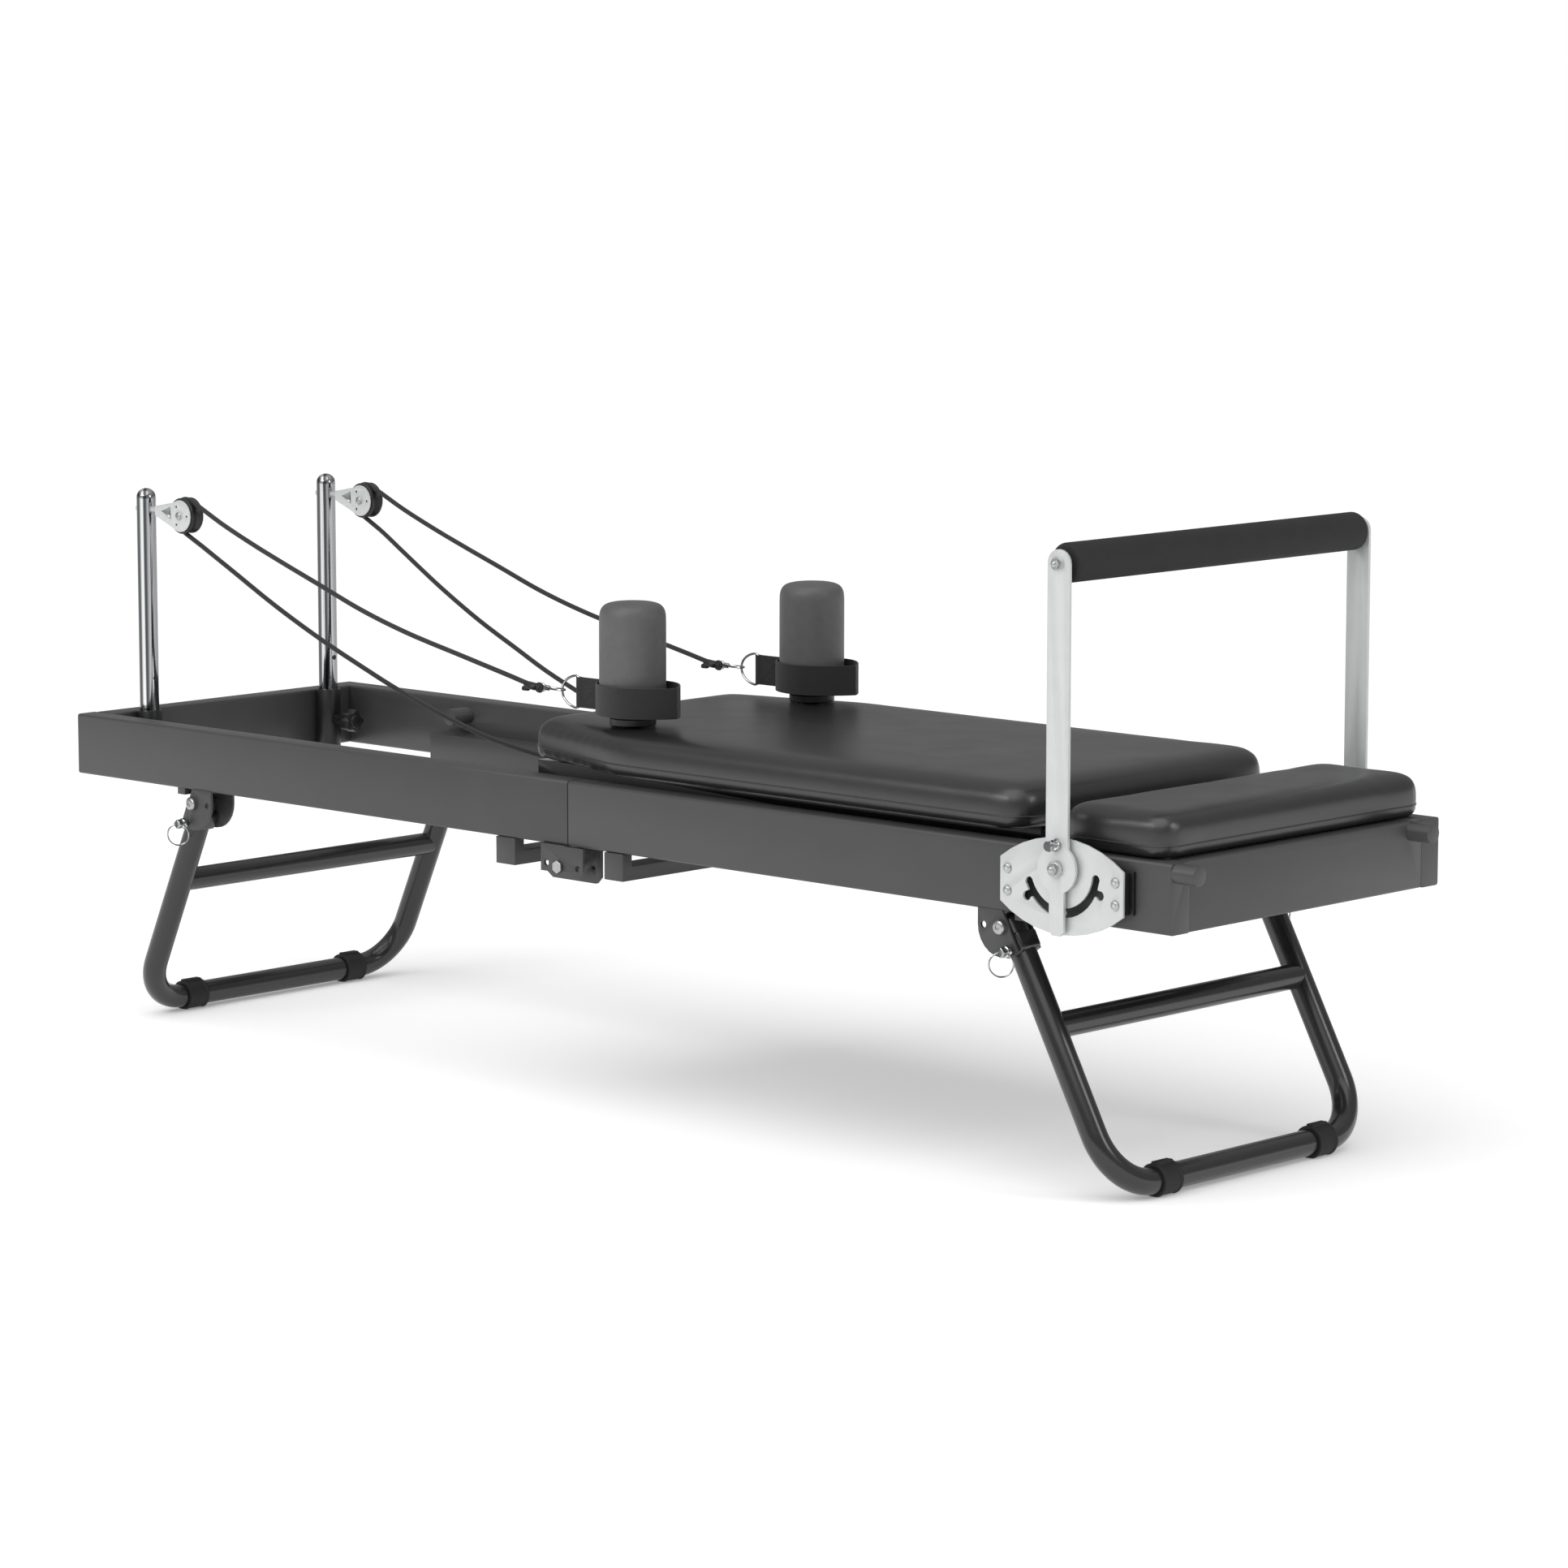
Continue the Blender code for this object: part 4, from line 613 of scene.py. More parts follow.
# %% Ropes, crimps and hooks
def snap_hook(name, side):
    """Swivel eye, barrel, sprung loop and its gate."""
    y = side * WHEEL.y
    z = middle("snap_hook_far").z
    low, high = span(f"snap_hook_{name}")
    wire = 0.0017
    eye = [(low.x + 0.0015 + 0.0052 * cos(a), y, z + 0.0052 * sin(a)) for a in circle(24)]
    barrel = turned([(0, 0), (0.0030, 0), (0.0044, 0.0012), (0.0044, 0.0046), (0.0034, 0.0052), (0.0034, 0.0064),
                     (0.0042, 0.0072), (0.0042, 0.0092), (0.0026, 0.0108), (0, 0.0110)],
                    (low.x + 0.0060, y, z), (1, 0, 0), 24)
    rear, front, half = low.x + 0.0162, high.x - wire, 0.0072
    loop = []
    for a in circle(36):
        x = (rear + front) / 2 + (front - rear) / 2 * cos(a)
        loop.append((x, y + half * sin(a) * (0.80 + 0.20 * cos(a)), z))
    gate = sleeve([(rear + 0.001, y + side * 0.0025, z), (rear + 0.008, y + side * 0.0050, z + 0.0006),
                   (front - 0.008, y + side * 0.0062, z + 0.0006)], 0.0011, 10)
    bm = joined(sleeve(eye, wire, 12, closed=True), barrel, sleeve(loop, wire, 12, closed=True), gate)
    return made(f"snap_hook_{name}_chrome", placed(bm), PAINTED_REFLECTION_CHROME, "carriage", "chrome", (f"snap_hook_{name}",))


def circle(steps):
    return [2 * pi * i / steps for i in range(steps)]


def rope(name, side):
    route = [Vector((x, side * out, z)) for x, out, z in UPPER_ROUTE + tuple(WRAP) + LOWER_ROUTE]
    path = [at(*point) for point in reversed(smooth_route(route, 0.007))]
    piece = made(f"rope_{name}_braid", sleeve(path, ROPE_RADIUS, 14, weave=True), ROPE, "carriage", "rope",
                 (f"rope_{name}",), ride=False)
    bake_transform(piece, "head_frame", "carriage", start=at(0.195, 0, 0), end=at(0.950, 0, 0))
    y, z = side * WHEEL.y, UPPER_ROUTE[0][2]
    slope = Vector((1, 0, -0.10)).normalized()
    start = Vector((0.9500, y, 0.1195))
    crimp = sleeve([start + slope * d for d in (0, 0.0015, 0.004, 0.020, 0.0225, 0.024)], 0.0080, 20,
                   widths=(0.62, 0.86, 1.0, 1.0, 0.86, 0.62), squeeze=0.72)
    crimp_piece = made(f"rope_crimp_{name}", placed(crimp), ABS, "carriage", "black_plastic")
    bight = [(0.9790 + 0.0065 * cos(a), y, z - 0.0010 + 0.0052 * sin(a)) for a in circle(24)]
    tail = sleeve([(0.9550, y, z - 0.0045), (0.9480, y, z - 0.0050), (0.9435, y, z - 0.0050)], 0.0036, 12)
    bight_piece = made(f"rope_bight_{name}", placed(joined(sleeve(bight, 0.0030, 12, closed=True), tail)), RUBBER,
                       "carriage", "rope")
    hook = snap_hook(name, side)


for name, side in SIDES.items():
    rope(name, side)

# %% [markdown]
# ## Springs
# Three extension springs pull the carriage to the foot end. A close-wound helix is a circle that
# climbs as it turns, so its path is worked out turn by turn and a thin wire is pushed along it.
# One spring is made and copied for the other two. Their carriage end moves with the slide.


# %% Springs
def springs():
    low, high = span("spring_middle")
    wire, turns, per_turn = 0.0012, 130, 12
    reach = (high.z - low.z) / 2 - wire
    centre = middle("spring_middle")
    coil_start, coil_end = low.x + 0.014, high.x - 0.014
    steps = turns * per_turn
    path = [(low.x, centre.y, centre.z), (low.x + 0.006, centre.y, centre.z)]
    path += [(coil_start + (coil_end - coil_start) * i / steps, centre.y + reach * sin(2 * pi * i / per_turn),
              centre.z + reach * cos(2 * pi * i / per_turn)) for i in range(steps + 1)]
    path += [(high.x - 0.006, centre.y, centre.z), (high.x, centre.y, centre.z)]
    first = made("spring_middle_coil", placed(sleeve(path, wire, 6)), SPRING_WIRE, "carriage", "spring_steel",
                 ("spring_middle",), ride=False)
    for name, shift in (("near", middle("spring_near").y), ("far", middle("spring_far").y)):
        mesh = first.data.copy()
        mesh.transform(Matrix.Translation((0, shift - centre.y, 0)))
        copy = bpy.data.objects.new(f"spring_{name}_coil", mesh)
        bpy.context.scene.collection.objects.link(copy)
        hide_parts(f"spring_{name}")
        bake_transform(copy, "head_frame", "carriage", start=at(high.x, 0, 0), end=at(low.x, 0, 0))
    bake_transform(first, "head_frame", "carriage", start=at(high.x, 0, 0), end=at(low.x, 0, 0))
    print(f"springs: {turns} turns each, {len(first.data.vertices)} vertices")


springs()

# %% [markdown]
# ## Pads
# A pad is a board, a block of firm foam and a vinyl cover pulled tight over both. Cloth under a
# little air pressure gives the cover its true swell: it crowns over the middle and draws in at
# the corners. The block starts a few millimetres small, is remeshed to an even grid, puffs up for
# twenty frames and is stopped where the foam would stop it. Underneath, the board keeps it flat.


# %% Stuffing
def settled(piece):
    """Replace a piece's mesh by what its modifiers make of it."""
    graph = bpy.context.evaluated_depsgraph_get()
    mesh = bpy.data.meshes.new_from_object(piece.evaluated_get(graph))
    piece.modifiers.clear()
    piece.data = mesh


def puff(piece, cap, board):
    """Blow a cover up like a balloon, but no point further than the cap nor below the board."""
    start = [v.co.copy() for v in piece.data.vertices]
    cloth = piece.modifiers.new("cover", "CLOTH")
    cloth.settings.quality = 5
    cloth.settings.use_pressure = True
    cloth.settings.uniform_pressure_force = 4
    cloth.settings.effector_weights.gravity = 0
    for step in range(1, 21):
        bpy.context.scene.frame_set(step)
    settled(piece)
    for vert, before in zip(piece.data.vertices, start):
        move = vert.co - before
        if move.length > cap:
            move *= cap / move.length
        vert.co = before + move
        vert.co.z = max(vert.co.z, board)


def stuffed(name, bm, voxel, cap, material, body, nodes):
    """A stuffed cover: remeshed, blown up, smoothed and subdivided."""
    board = min(v.co.z for v in bm.verts)
    mesh = bpy.data.meshes.new(name)
    bm.to_mesh(mesh)
    bm.free()
    piece = bpy.data.objects.new(name, mesh)
    bpy.context.scene.collection.objects.link(piece)
    remesh = piece.modifiers.new("grid", "REMESH")
    remesh.mode = "VOXEL"
    remesh.voxel_size = voxel
    settled(piece)
    puff(piece, cap, board)
    bm = bmesh.new()
    bm.from_mesh(piece.data)
    for _ in range(10):
        bmesh.ops.smooth_vert(bm, verts=bm.verts, factor=0.5, use_axis_x=True, use_axis_y=True, use_axis_z=True)
    bm.to_mesh(piece.data)
    bm.free()
    finer = piece.modifiers.new("finer", "SUBSURF")
    finer.levels = finer.render_levels = 1
    settled(piece)
    piece.data.materials.clear()
    piece.data.materials.append(material)
    piece.data.shade_smooth()
    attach(piece, body)
    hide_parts(*nodes)
    print(f"{name}: {len(piece.data.polygons)} faces")
    return piece


# %% Pad blocks
def rounded(points, radii, steps=6):
    """An outline whose corners are rounded, each by its own radius."""
    outline = []
    for index, (corner, radius) in enumerate(zip(points, radii)):
        here = Vector(corner)
        back = (Vector(points[index - 1]) - here).normalized()
        on = (Vector(points[(index + 1) % len(points)]) - here).normalized()
        if radius == 0:
            outline.append(tuple(here))
            continue
        half = back.angle(on) / 2
        centre = here + (back + on).normalized() * radius / sin(half)
        first, last = here + back * radius / tan(half), here + on * radius / tan(half)
        a, b = first - centre, last - centre
        sweep = a.angle_signed(b)
        for i in range(steps + 1):
            turned_arm = a.copy()
            turned_arm.rotate(Matrix.Rotation(-sweep * i / steps, 2))
            outline.append(tuple(centre + turned_arm))
    return outline


def pad_block(outline, bottom, top, top_round, bottom_round):
    bm = slab(outline, "Z", (bottom, top))
    rim = [e for e in bm.edges if all(v.co.z > top - 1e-5 for v in e.verts)]
    bmesh.ops.bevel(bm, geom=rim, offset=top_round, segments=6, profile=0.5, affect="EDGES", material=-1)
    rim = [e for e in bm.edges if all(v.co.z < bottom + 1e-5 for v in e.verts)]
    bmesh.ops.bevel(bm, geom=rim, offset=bottom_round, segments=3, profile=0.5, affect="EDGES", material=-1)
    bmesh.ops.recalc_face_normals(bm, faces=bm.faces)
    return bm


# %% [markdown]
# The cover's side panel is sewn to its lower band with a thin welt, which shows as a fine line
# round the pad. Its path follows the outline at one height, and each of its points is dropped
# onto the finished cover.


# %% Welts
def welt(name, pad, outline, height, radius, body):
    """A sewn welt round a pad at one height."""
    loop = dense(outline, 0.008)
    path = []
    for x, y in loop:
        spot = at(x, y, height)
        _, place, normal, _ = pad.closest_point_on_mesh(spot)
        path.append(Vector((place.x, place.y, spot.z)) + normal * radius * 0.1)
    made(name, sleeve(path, radius, 8, closed=True), PAD_VINYL, body, "pad_vinyl", angle=80)


def dense(outline, spacing):
    """The same closed outline, with a point every so often."""
    points = []
    for start, end in zip(outline, outline[1:] + outline[:1]):
        start, end = Vector(start), Vector(end)
        steps = max(1, ceil((end - start).length / spacing))
        points += [tuple(start.lerp(end, i / steps)) for i in range(steps)]
    return points


# %% Lying pad and standing pad
PAD_SWELL = 0.004                  # room between the block and the solid, for the cover to swell into


def lying_pad():
    """The carriage's pad, narrower at the head end."""
    low, high = span("carriage_pad")
    taper_end, half_start = 1.224, 0.2195
    x0, x1, y1 = low.x + PAD_SWELL, high.x - PAD_SWELL, high.y - PAD_SWELL
    y0 = half_start - PAD_SWELL
    corners = [(x0, -y0), (taper_end, -y1), (x1, -y1), (x1, y1), (taper_end, y1), (x0, y0)]
    outline = rounded(corners, (0.022, 0.30, 0.046, 0.046, 0.30, 0.022), 8)
    block = placed(pad_block(outline, low.z, high.z - PAD_SWELL, 0.026, 0.005))
    pad = stuffed("carriage_pad_cover", block, 0.0075, 0.0035, PAD_VINYL, "carriage",
                  ("carriage_pad",))
    welt("carriage_pad_welt", pad, outline, low.z + 0.020, 0.0011, "carriage")


def standing_pad():
    low, high = span("standing_pad")
    x0, x1, y1 = low.x + PAD_SWELL, high.x - PAD_SWELL, high.y - PAD_SWELL
    outline = rounded([(x0, -y1), (x1, -y1), (x1, y1), (x0, y1)], (0.036,) * 4, 8)
    block = placed(pad_block(outline, low.z, high.z - PAD_SWELL, 0.022, 0.005))
    pad = stuffed("standing_pad_cover", block, 0.0055, 0.0035, PAD_VINYL, "foot_frame",
                  ("standing_pad",))
    welt("standing_pad_welt", pad, outline, low.z + 0.018, 0.0011, "foot_frame")


lying_pad()
standing_pad()

# %% [markdown]
# ## Shoulder rests
# A rest is a round block of foam in a grey vinyl cover on a black foot, whose pin drops into the
# pad. The same swelling gives its side a barrel shape too slight to name but enough to bend the
# light.


# %% Shoulder rests
def shoulder_rest(name):
    low, high = span(f"shoulder_rest_{name}")
    centre = middle(f"shoulder_rest_{name}")
    foam_low, foam_radius, disc_radius, pin_radius = 0.095, (high.x - low.x) / 2, 0.035, 0.012
    pad_top = span("carriage_pad")[1].z
    swell = 0.0015
    body = f"shoulder_rest_{name}"
    edge, radius = 0.018, foam_radius - swell
    profile = [(0, foam_low), (radius - 0.003, foam_low), (radius, foam_low + 0.003)]
    profile += arc((radius - edge, high.z - swell - edge), edge, 0, pi / 2, 8) + [(0, high.z - swell)]
    block = placed(turned(profile, (centre.x, centre.y, 0), steps=64))
    stuffed(f"shoulder_rest_{name}_cover", block, 0.004, swell, REST_VINYL, body,
            (f"shoulder_rest_{name}",))
    foot = turned([(0, low.z), (pin_radius - 0.002, low.z), (pin_radius, low.z + 0.002),
                   (pin_radius, pad_top + 0.0008), (disc_radius - 0.001, pad_top + 0.0008),
                   (disc_radius, pad_top + 0.002),
                   (disc_radius, pad_top + 0.0108), (disc_radius - 0.001, pad_top + 0.0120),
                   (disc_radius - 0.003, pad_top + 0.0124), (disc_radius - 0.003, foam_low + 0.004),
                   (0, foam_low + 0.004)], (centre.x, centre.y, 0), steps=64)
    made(f"shoulder_rest_{name}_foot", placed(foot), ABS, body, "black_plastic")


for name in SIDES:
    shoulder_rest(name)

# %% [markdown]
# ## Hand straps
# Each strap is one length of flat webbing: it wraps the rest in a loop, creases at the back and
# comes together in a doubled tail that is folded round the bar of the D-ring and box-stitched.
# Its inner line is drawn from above, raised into a band, and given its thickness outwards.


# %% Straps
STRAP_THICK = 0.0023
REST_X = 1.196                     # middle of a strap's loop round the rest
TAIL_END = 1.118                   # where the doubled tail opens into the loop
LOOP_STEPS = 24
STRAP_ROWS = 6


def strap_line(side, low, high):
    """The strap's inner line from above: round the ring's bar, along the tail, round the rest."""
    bar_x, bar_radius, y = low.x + 0.0049, 0.0027, side * WHEEL.y
    long, wide = high.x - REST_X - STRAP_THICK, (high.y - low.y) / 2 - STRAP_THICK
    line = []
    for i in range(LOOP_STEPS + 1):
        t = i / LOOP_STEPS
        x = REST_X - long + 2 * long * t
        bow = (1 - (2 * t - 1) ** 2) ** 0.5 if t < 0.5 else cos((t - 0.5) * pi) ** 0.80
        line.append((x, y + wide * bow))
    upper = [(x, v) for x, v in line if x > TAIL_END + 0.004]
    start = [(TAIL_END - 0.004, y + 0.0003), (TAIL_END, y + 0.0012)]
    tail = [(bar_x + 0.0055 + (TAIL_END - 0.010 - bar_x - 0.0055) * i / 6, y + 0.0003) for i in range(7)]
    top_half = tail + start + upper
    low_half = [(x, 2 * y - v) for x, v in reversed(top_half)]
    bend = arc((bar_x, y), bar_radius, radians(-115), radians(-245), 10)
    return top_half + low_half[1:] + bend


def strap(name, side):
    low, high = span(f"strap_{name}")
    line = strap_line(side, low, high)
    bm = bmesh.new()
    ring = [bm.verts.new((x, y, low.z)) for x, y in line]
    edges = [bm.edges.new(pair) for pair in zip(ring, ring[1:] + ring[:1])]
    along, total = [], 0.0
    for index, vert in enumerate(ring):
        along.append(total)
        total += (ring[(index + 1) % len(ring)].co - vert.co).length
    rows = [ring]
    for step in range(1, STRAP_ROWS + 1):
        ring, edges = grow_ring(bm, edges, ring)
        for vert in ring:
            vert.co.z = low.z + (high.z - low.z) * step / STRAP_ROWS
        rows.append(ring)
    layer = bm.loops.layers.uv.new("weave")
    spot = {vert: (k, row) for row, verts in enumerate(rows) for k, vert in enumerate(verts)}
    for face in bm.faces:
        ranks = [spot[loop.vert][0] for loop in face.loops]
        for loop in face.loops:
            k, row = spot[loop.vert]
            u = total if k == 0 and max(ranks) > 1 else along[k]
            loop[layer].uv = (u, (high.z - low.z) * row / STRAP_ROWS)
    bmesh.ops.recalc_face_normals(bm, faces=bm.faces)
    if sum(f.normal.x * (f.calc_center_median().x - REST_X) for f in bm.faces) < 0:
        bmesh.ops.reverse_faces(bm, faces=bm.faces)
    bmesh.ops.solidify(bm, geom=list(bm.faces), thickness=-STRAP_THICK)
    made(f"strap_{name}_webbing", placed(bm), WEBBING, "carriage", "webbing", (f"strap_{name}",), angle=50)


# %% [markdown]
# The stitching is real thread: short rounded dashes in a box with a cross, proud of both faces of
# the doubled tail.


# %% Box stitch and D-ring
def box_stitch(name, side):
    low, high = span(f"strap_{name}")
    y, x0, x1 = side * WHEEL.y, low.x + 0.014, 1.108
    z0, z1 = low.z + 0.006, high.z - 0.006
    runs = [((x0, z0), (x1, z0)), ((x1, z0), (x1, z1)), ((x1, z1), (x0, z1)), ((x0, z1), (x0, z0)),
            ((x0, z0), (x1, z1)), ((x0, z1), (x1, z0))]
    dashes = []
    for way in (-1, 1):
        face = y + way * (STRAP_THICK + 0.0003)
        for a, b in runs:
            start, end = Vector((a[0], face, a[1])), Vector((b[0], face, b[1]))
            count = int((end - start).length / 0.0036)
            for i in range(count):
                p, q = start.lerp(end, (i + 0.12) / count), start.lerp(end, (i + 0.88) / count)
                dashes.append(sleeve([p, p.lerp(q, 0.5) + Vector((0, way * 0.0002, 0)), q], 0.0004, 5))
    made(f"strap_{name}_stitches", placed(joined(*dashes)), THREAD, "carriage", "webbing")


def d_ring(name, side):
    low, high = span(f"d_ring_{name}")
    y, wire = side * WHEEL.y, 0.0019
    bar_x, centre_z, tall = high.x - wire, (low.z + high.z) / 2, (high.z - low.z) / 2 - wire
    deep = bar_x - low.x - wire
    path = [(bar_x, y, centre_z + tall * part) for part in (-0.90, -0.45, 0, 0.45, 0.90)]
    path += [(bar_x - 0.0012 - (deep - 0.0012) * sin(a), y, centre_z + tall * cos(a)) for a in
             [radians(10 + 160 * i / 28) for i in range(29)]]
    made(f"d_ring_{name}_wire", placed(sleeve(path, wire, 14, closed=True)), PAINTED_REFLECTION_CHROME, "carriage", "chrome",
         (f"d_ring_{name}",))


for name, side in SIDES.items():
    strap(name, side)
    box_stitch(name, side)
    d_ring(name, side)

# %% [markdown]
# ## Steelwork
# The rails, plates and brackets have the right shape already. Real sheet and tube never has
# knife edges, though, so each is copied, its loose triangles are merged back into flat faces and
# its sharp edges are eased by half a millimetre: those thin bright lines are what make it read as
# steel.


# %% Ease the edges of a solid
def eased(node, material, width, angle=40):
    """A copy of a node with merged faces and rounded edges, in place of the node."""
    source = frame["nodes"][node]
    bm = bmesh.new()
    bm.from_mesh(source.data)
    bmesh.ops.remove_doubles(bm, verts=bm.verts, dist=2e-6)
    bmesh.ops.dissolve_limit(bm, angle_limit=radians(1.0), verts=bm.verts, edges=bm.edges)
    rim = [e for e in bm.edges if e.is_manifold and e.calc_face_angle(0) > radians(angle)]
    bmesh.ops.bevel(bm, geom=rim, offset=width, segments=2, profile=0.5, affect="EDGES", material=-1,
                    clamp_overlap=True)
    body = body_of(source)[0]
    made(f"{node}_skin", bm, material, body, slot_of(node), (node,), angle=30, normals=False)


def slot_of(node):
    return next(part["material_slot"] for part in frame["record"]["subparts"] if part["node"] == node)


def steelwork():
    for name in SIDES:
        for node in (f"head_rail_{name}", f"foot_rail_{name}"):
            eased(node, POWDER, 0.0008)
        for node in (f"footbar_plate_{name}", f"footbar_arm_{name}", f"pulley_bracket_{name}"):
            eased(node, SILVER, 0.0004)
        eased(f"frame_hinge_bolt_{name}", ZINC, 0.0006)
        eased(f"post_socket_{name}", ABS, 0.0008)
        eased(f"post_knob_{name}", ABS, 0.0014)
    for node in ("head_end_rail", "foot_end_rail", "head_crossbar", "foot_crossbar", "spring_bar"):
        eased(node, POWDER, 0.0012)
    eased("carriage_chassis", GLOSS, 0.001)


steelwork()
print("steelwork eased")

# %% [markdown]
# ## Leg frames
# Each leg is one steel tube bent twice on a mandrel, so its bends are true arcs of one radius. A
# thinner tube is welded across it, and a folded steel shroud is welded round each top. The path
# runs down one leg, across the floor and up the other, with fine steps in the bends alone.


# %% Leg tubes
LEG_OUT, LEG_RADIUS, LEG_BEND, LEG_FLOOR = 0.2755, 0.019, 0.080, 0.0225 - RAIL_TOP
LEG_PIVOTS = {"head": (0.287, -0.120), "foot": (2.002, -0.120)}
LEG_FEET = {"head": 0.126, "foot": 2.190}
LEG_CROSSBAR_DROP, LEG_CROSSBAR_RADIUS = 0.134, 0.0183
SHROUD_HALF = 0.0205               # half of a shroud's depth, across the leg
BEND_STEPS = 16


def leg_point(end, along, across=0.0):
    """A point down a leg from its pivot, and across it towards the side it folds to."""
    x, z = LEG_PIVOTS[end]
    lean = atan2(LEG_FEET[end] - x, z - LEG_FLOOR)
    fold = 1 if lean < 0 else -1
    return Vector((x + along * sin(lean) + fold * across * cos(lean), 0,
                   z - along * cos(lean) + fold * across * sin(lean)))


def leg_length(end):
    x, z = LEG_PIVOTS[end]
    return hypot(LEG_FEET[end] - x, z - LEG_FLOOR)


def leg_frame(end):
    length = leg_length(end)
    down = [(-0.0186, LEG_OUT, 0.20), (-0.0180, LEG_OUT, 0.38), (-0.0160, LEG_OUT, 0.60), (-0.0120, LEG_OUT, 0.80),
            (-0.0060, LEG_OUT, 0.95), (0.0, LEG_OUT, 1.0), (length - LEG_BEND, LEG_OUT, 1.0)]
    for i in range(1, BEND_STEPS + 1):
        turn = pi / 2 * i / BEND_STEPS
        down.append((length - LEG_BEND + LEG_BEND * sin(turn), LEG_OUT - LEG_BEND * (1 - cos(turn)), 1.0))
    path, widths = [], []
    for side, run in ((-1, down), (1, down[::-1])):
        for along, out, width in run:
            spot = leg_point(end, along)
            path.append((spot.x, side * out, spot.z))
            widths.append(width)
    lean = atan2(LEG_FEET[end] - LEG_PIVOTS[end][0], LEG_PIVOTS[end][1] - LEG_FLOOR)
    bar = leg_point(end, LEG_CROSSBAR_DROP / cos(lean))
    across = sleeve([(bar.x, y, bar.z) for y in (-LEG_OUT, 0, LEG_OUT)], LEG_CROSSBAR_RADIUS, 36)
    body = f"{end}_leg"
    made(f"{end}_leg_frame", placed(joined(sleeve(path, LEG_RADIUS, 40, widths=widths), across)), GLOSS, body,
         "gloss_paint", (f"{end}_leg_tube",))
    shrouds = []
    for side in SIDES.values():
        corners = [leg_point(end, along, reach) for along, reach in
                   ((0.014, -SHROUD_HALF), (0.014, SHROUD_HALF), (0.041, SHROUD_HALF), (0.047, 0.0),
                    (0.041, -SHROUD_HALF))]
        faces = [side * (LEG_OUT + reach) for reach in (-0.01975, 0.01975)]
        shrouds.append(slab([(p.x, p.z) for p in corners], "Y", faces, 0.0045, 4))
    made(f"{end}_leg_shrouds", placed(joined(*shrouds)), GLOSS, body, "gloss_paint")


for end in LEG_PIVOTS:
    leg_frame(end)
    print(f"{end} leg: {leg_length(end):.3f} m from pivot to foot")

# %% [markdown]
# Rubber sleeves grip the floor. Each is moulded with a lip at both ends and split on top, where
# two lugs close it round the tube. The sole is flat because the rubber presses flat on the floor.


# %% Rubber sleeves
def leg_sleeve(end, name):
    low, high = span(f"{end}_leg_foot_{name}")
    centre = leg_point(end, leg_length(end))
    y, half = (low.y + high.y) / 2, (high.y - low.y) / 2
    bore, lip, wall = LEG_RADIUS + 0.0003, 0.0240, 0.0228
    profile = [(bore, -half), (lip - 0.0010, -half), (lip, -half + 0.0010), (lip, -half + 0.0040),
               (wall, -half + 0.0055), (wall, half - 0.0055), (lip, half - 0.0040), (lip, half - 0.0010),
               (lip - 0.0010, half), (bore, half)]
    bm = turned(profile, (centre.x, y, centre.z), (0, 1, 0), 64, bored=True)
    for vert in bm.verts:
        vert.co.z = max(vert.co.z, -RAIL_TOP)
    lug = slab([(centre.x - 0.0075, centre.z + 0.0185), (centre.x + 0.0075, centre.z + 0.0185),
                (centre.x + 0.0060, centre.z + 0.0262), (centre.x - 0.0060, centre.z + 0.0262)], "Y",
               (y - half + 0.003, y + half - 0.003), 0.0012)
    made(f"{end}_leg_sleeve_{name}", placed(joined(bm, lug)), RUBBER, f"{end}_leg", "rubber",
         (f"{end}_leg_foot_{name}",))


for end in LEG_PIVOTS:
    for name in SIDES:
        leg_sleeve(end, name)

# %% [markdown]
# ## Turned parts
# Posts, pulley wheels, rollers, the footbar's tube and its grip are all lathe work: a profile
# spun about an axis. A profile with a closed loop gives a bored part.


# %% Posts and pulley wheels
def post(name, side):
    low, high = span(f"pulley_post_{name}")
    x, y, radius = (low.x + high.x) / 2, side * WHEEL.y, 0.0158
    rise, joint = 0.0150, high.z - 0.0155
    shank = turned([(0, low.z), (radius, low.z), (radius, joint - 0.0006), (radius - 0.0006, joint), (0, joint)],
                   (x, y, 0), steps=64)
    cap = turned([(0, joint + 0.0001), (radius, joint + 0.0001)]
                 + [(radius * cos(a), high.z - rise + rise * sin(a)) for a in
                    [pi / 2 * i / 12 for i in range(1, 12)]] + [(0, high.z)], (x, y, 0), steps=64)
    made(f"pulley_post_{name}_tube", placed(joined(shank, cap)), PAINTED_REFLECTION_CHROME, "head_frame", "chrome",
         (f"pulley_post_{name}",))
    button = turned([(0, 0), (0.0042, 0), (0.0042, 0.0006), (0.0030, 0.0018), (0, 0.0022)],
                    (x + radius - 0.0006, y, 0.056), (1, 0, 0), 24)
    made(f"post_button_{name}", placed(button), ABS, "head_frame", "black_plastic")


def pulley_wheel(name, side):
    low, high = span(f"pulley_wheel_{name}")
    radius, half, groove, bore = (high.x - low.x) / 2, (high.y - low.y) / 2, 0.0222, 0.0034
    profile = [(bore, -half), (radius - 0.0012, -half), (radius, -half + 0.0012), (radius, -0.0076),
               (radius - 0.0010, -0.0066)]
    profile += [(radius - 0.0010 - (radius - 0.0010 - groove) * sin(pi * i / 12), -0.0066 + 0.0132 * i / 12)
                for i in range(1, 12)]
    profile += [(radius - 0.0010, 0.0066), (radius, 0.0076), (radius, half - 0.0012), (radius - 0.0012, half),
                (bore, half)]
    wheel = turned(profile, (WHEEL.x, side * WHEEL.y, WHEEL.z), (0, 1, 0), 72, bored=True)
    made(f"pulley_wheel_{name}_sheave", placed(wheel), ABS, f"pulley_wheel_{name}", "black_plastic",
         (f"pulley_wheel_{name}",))


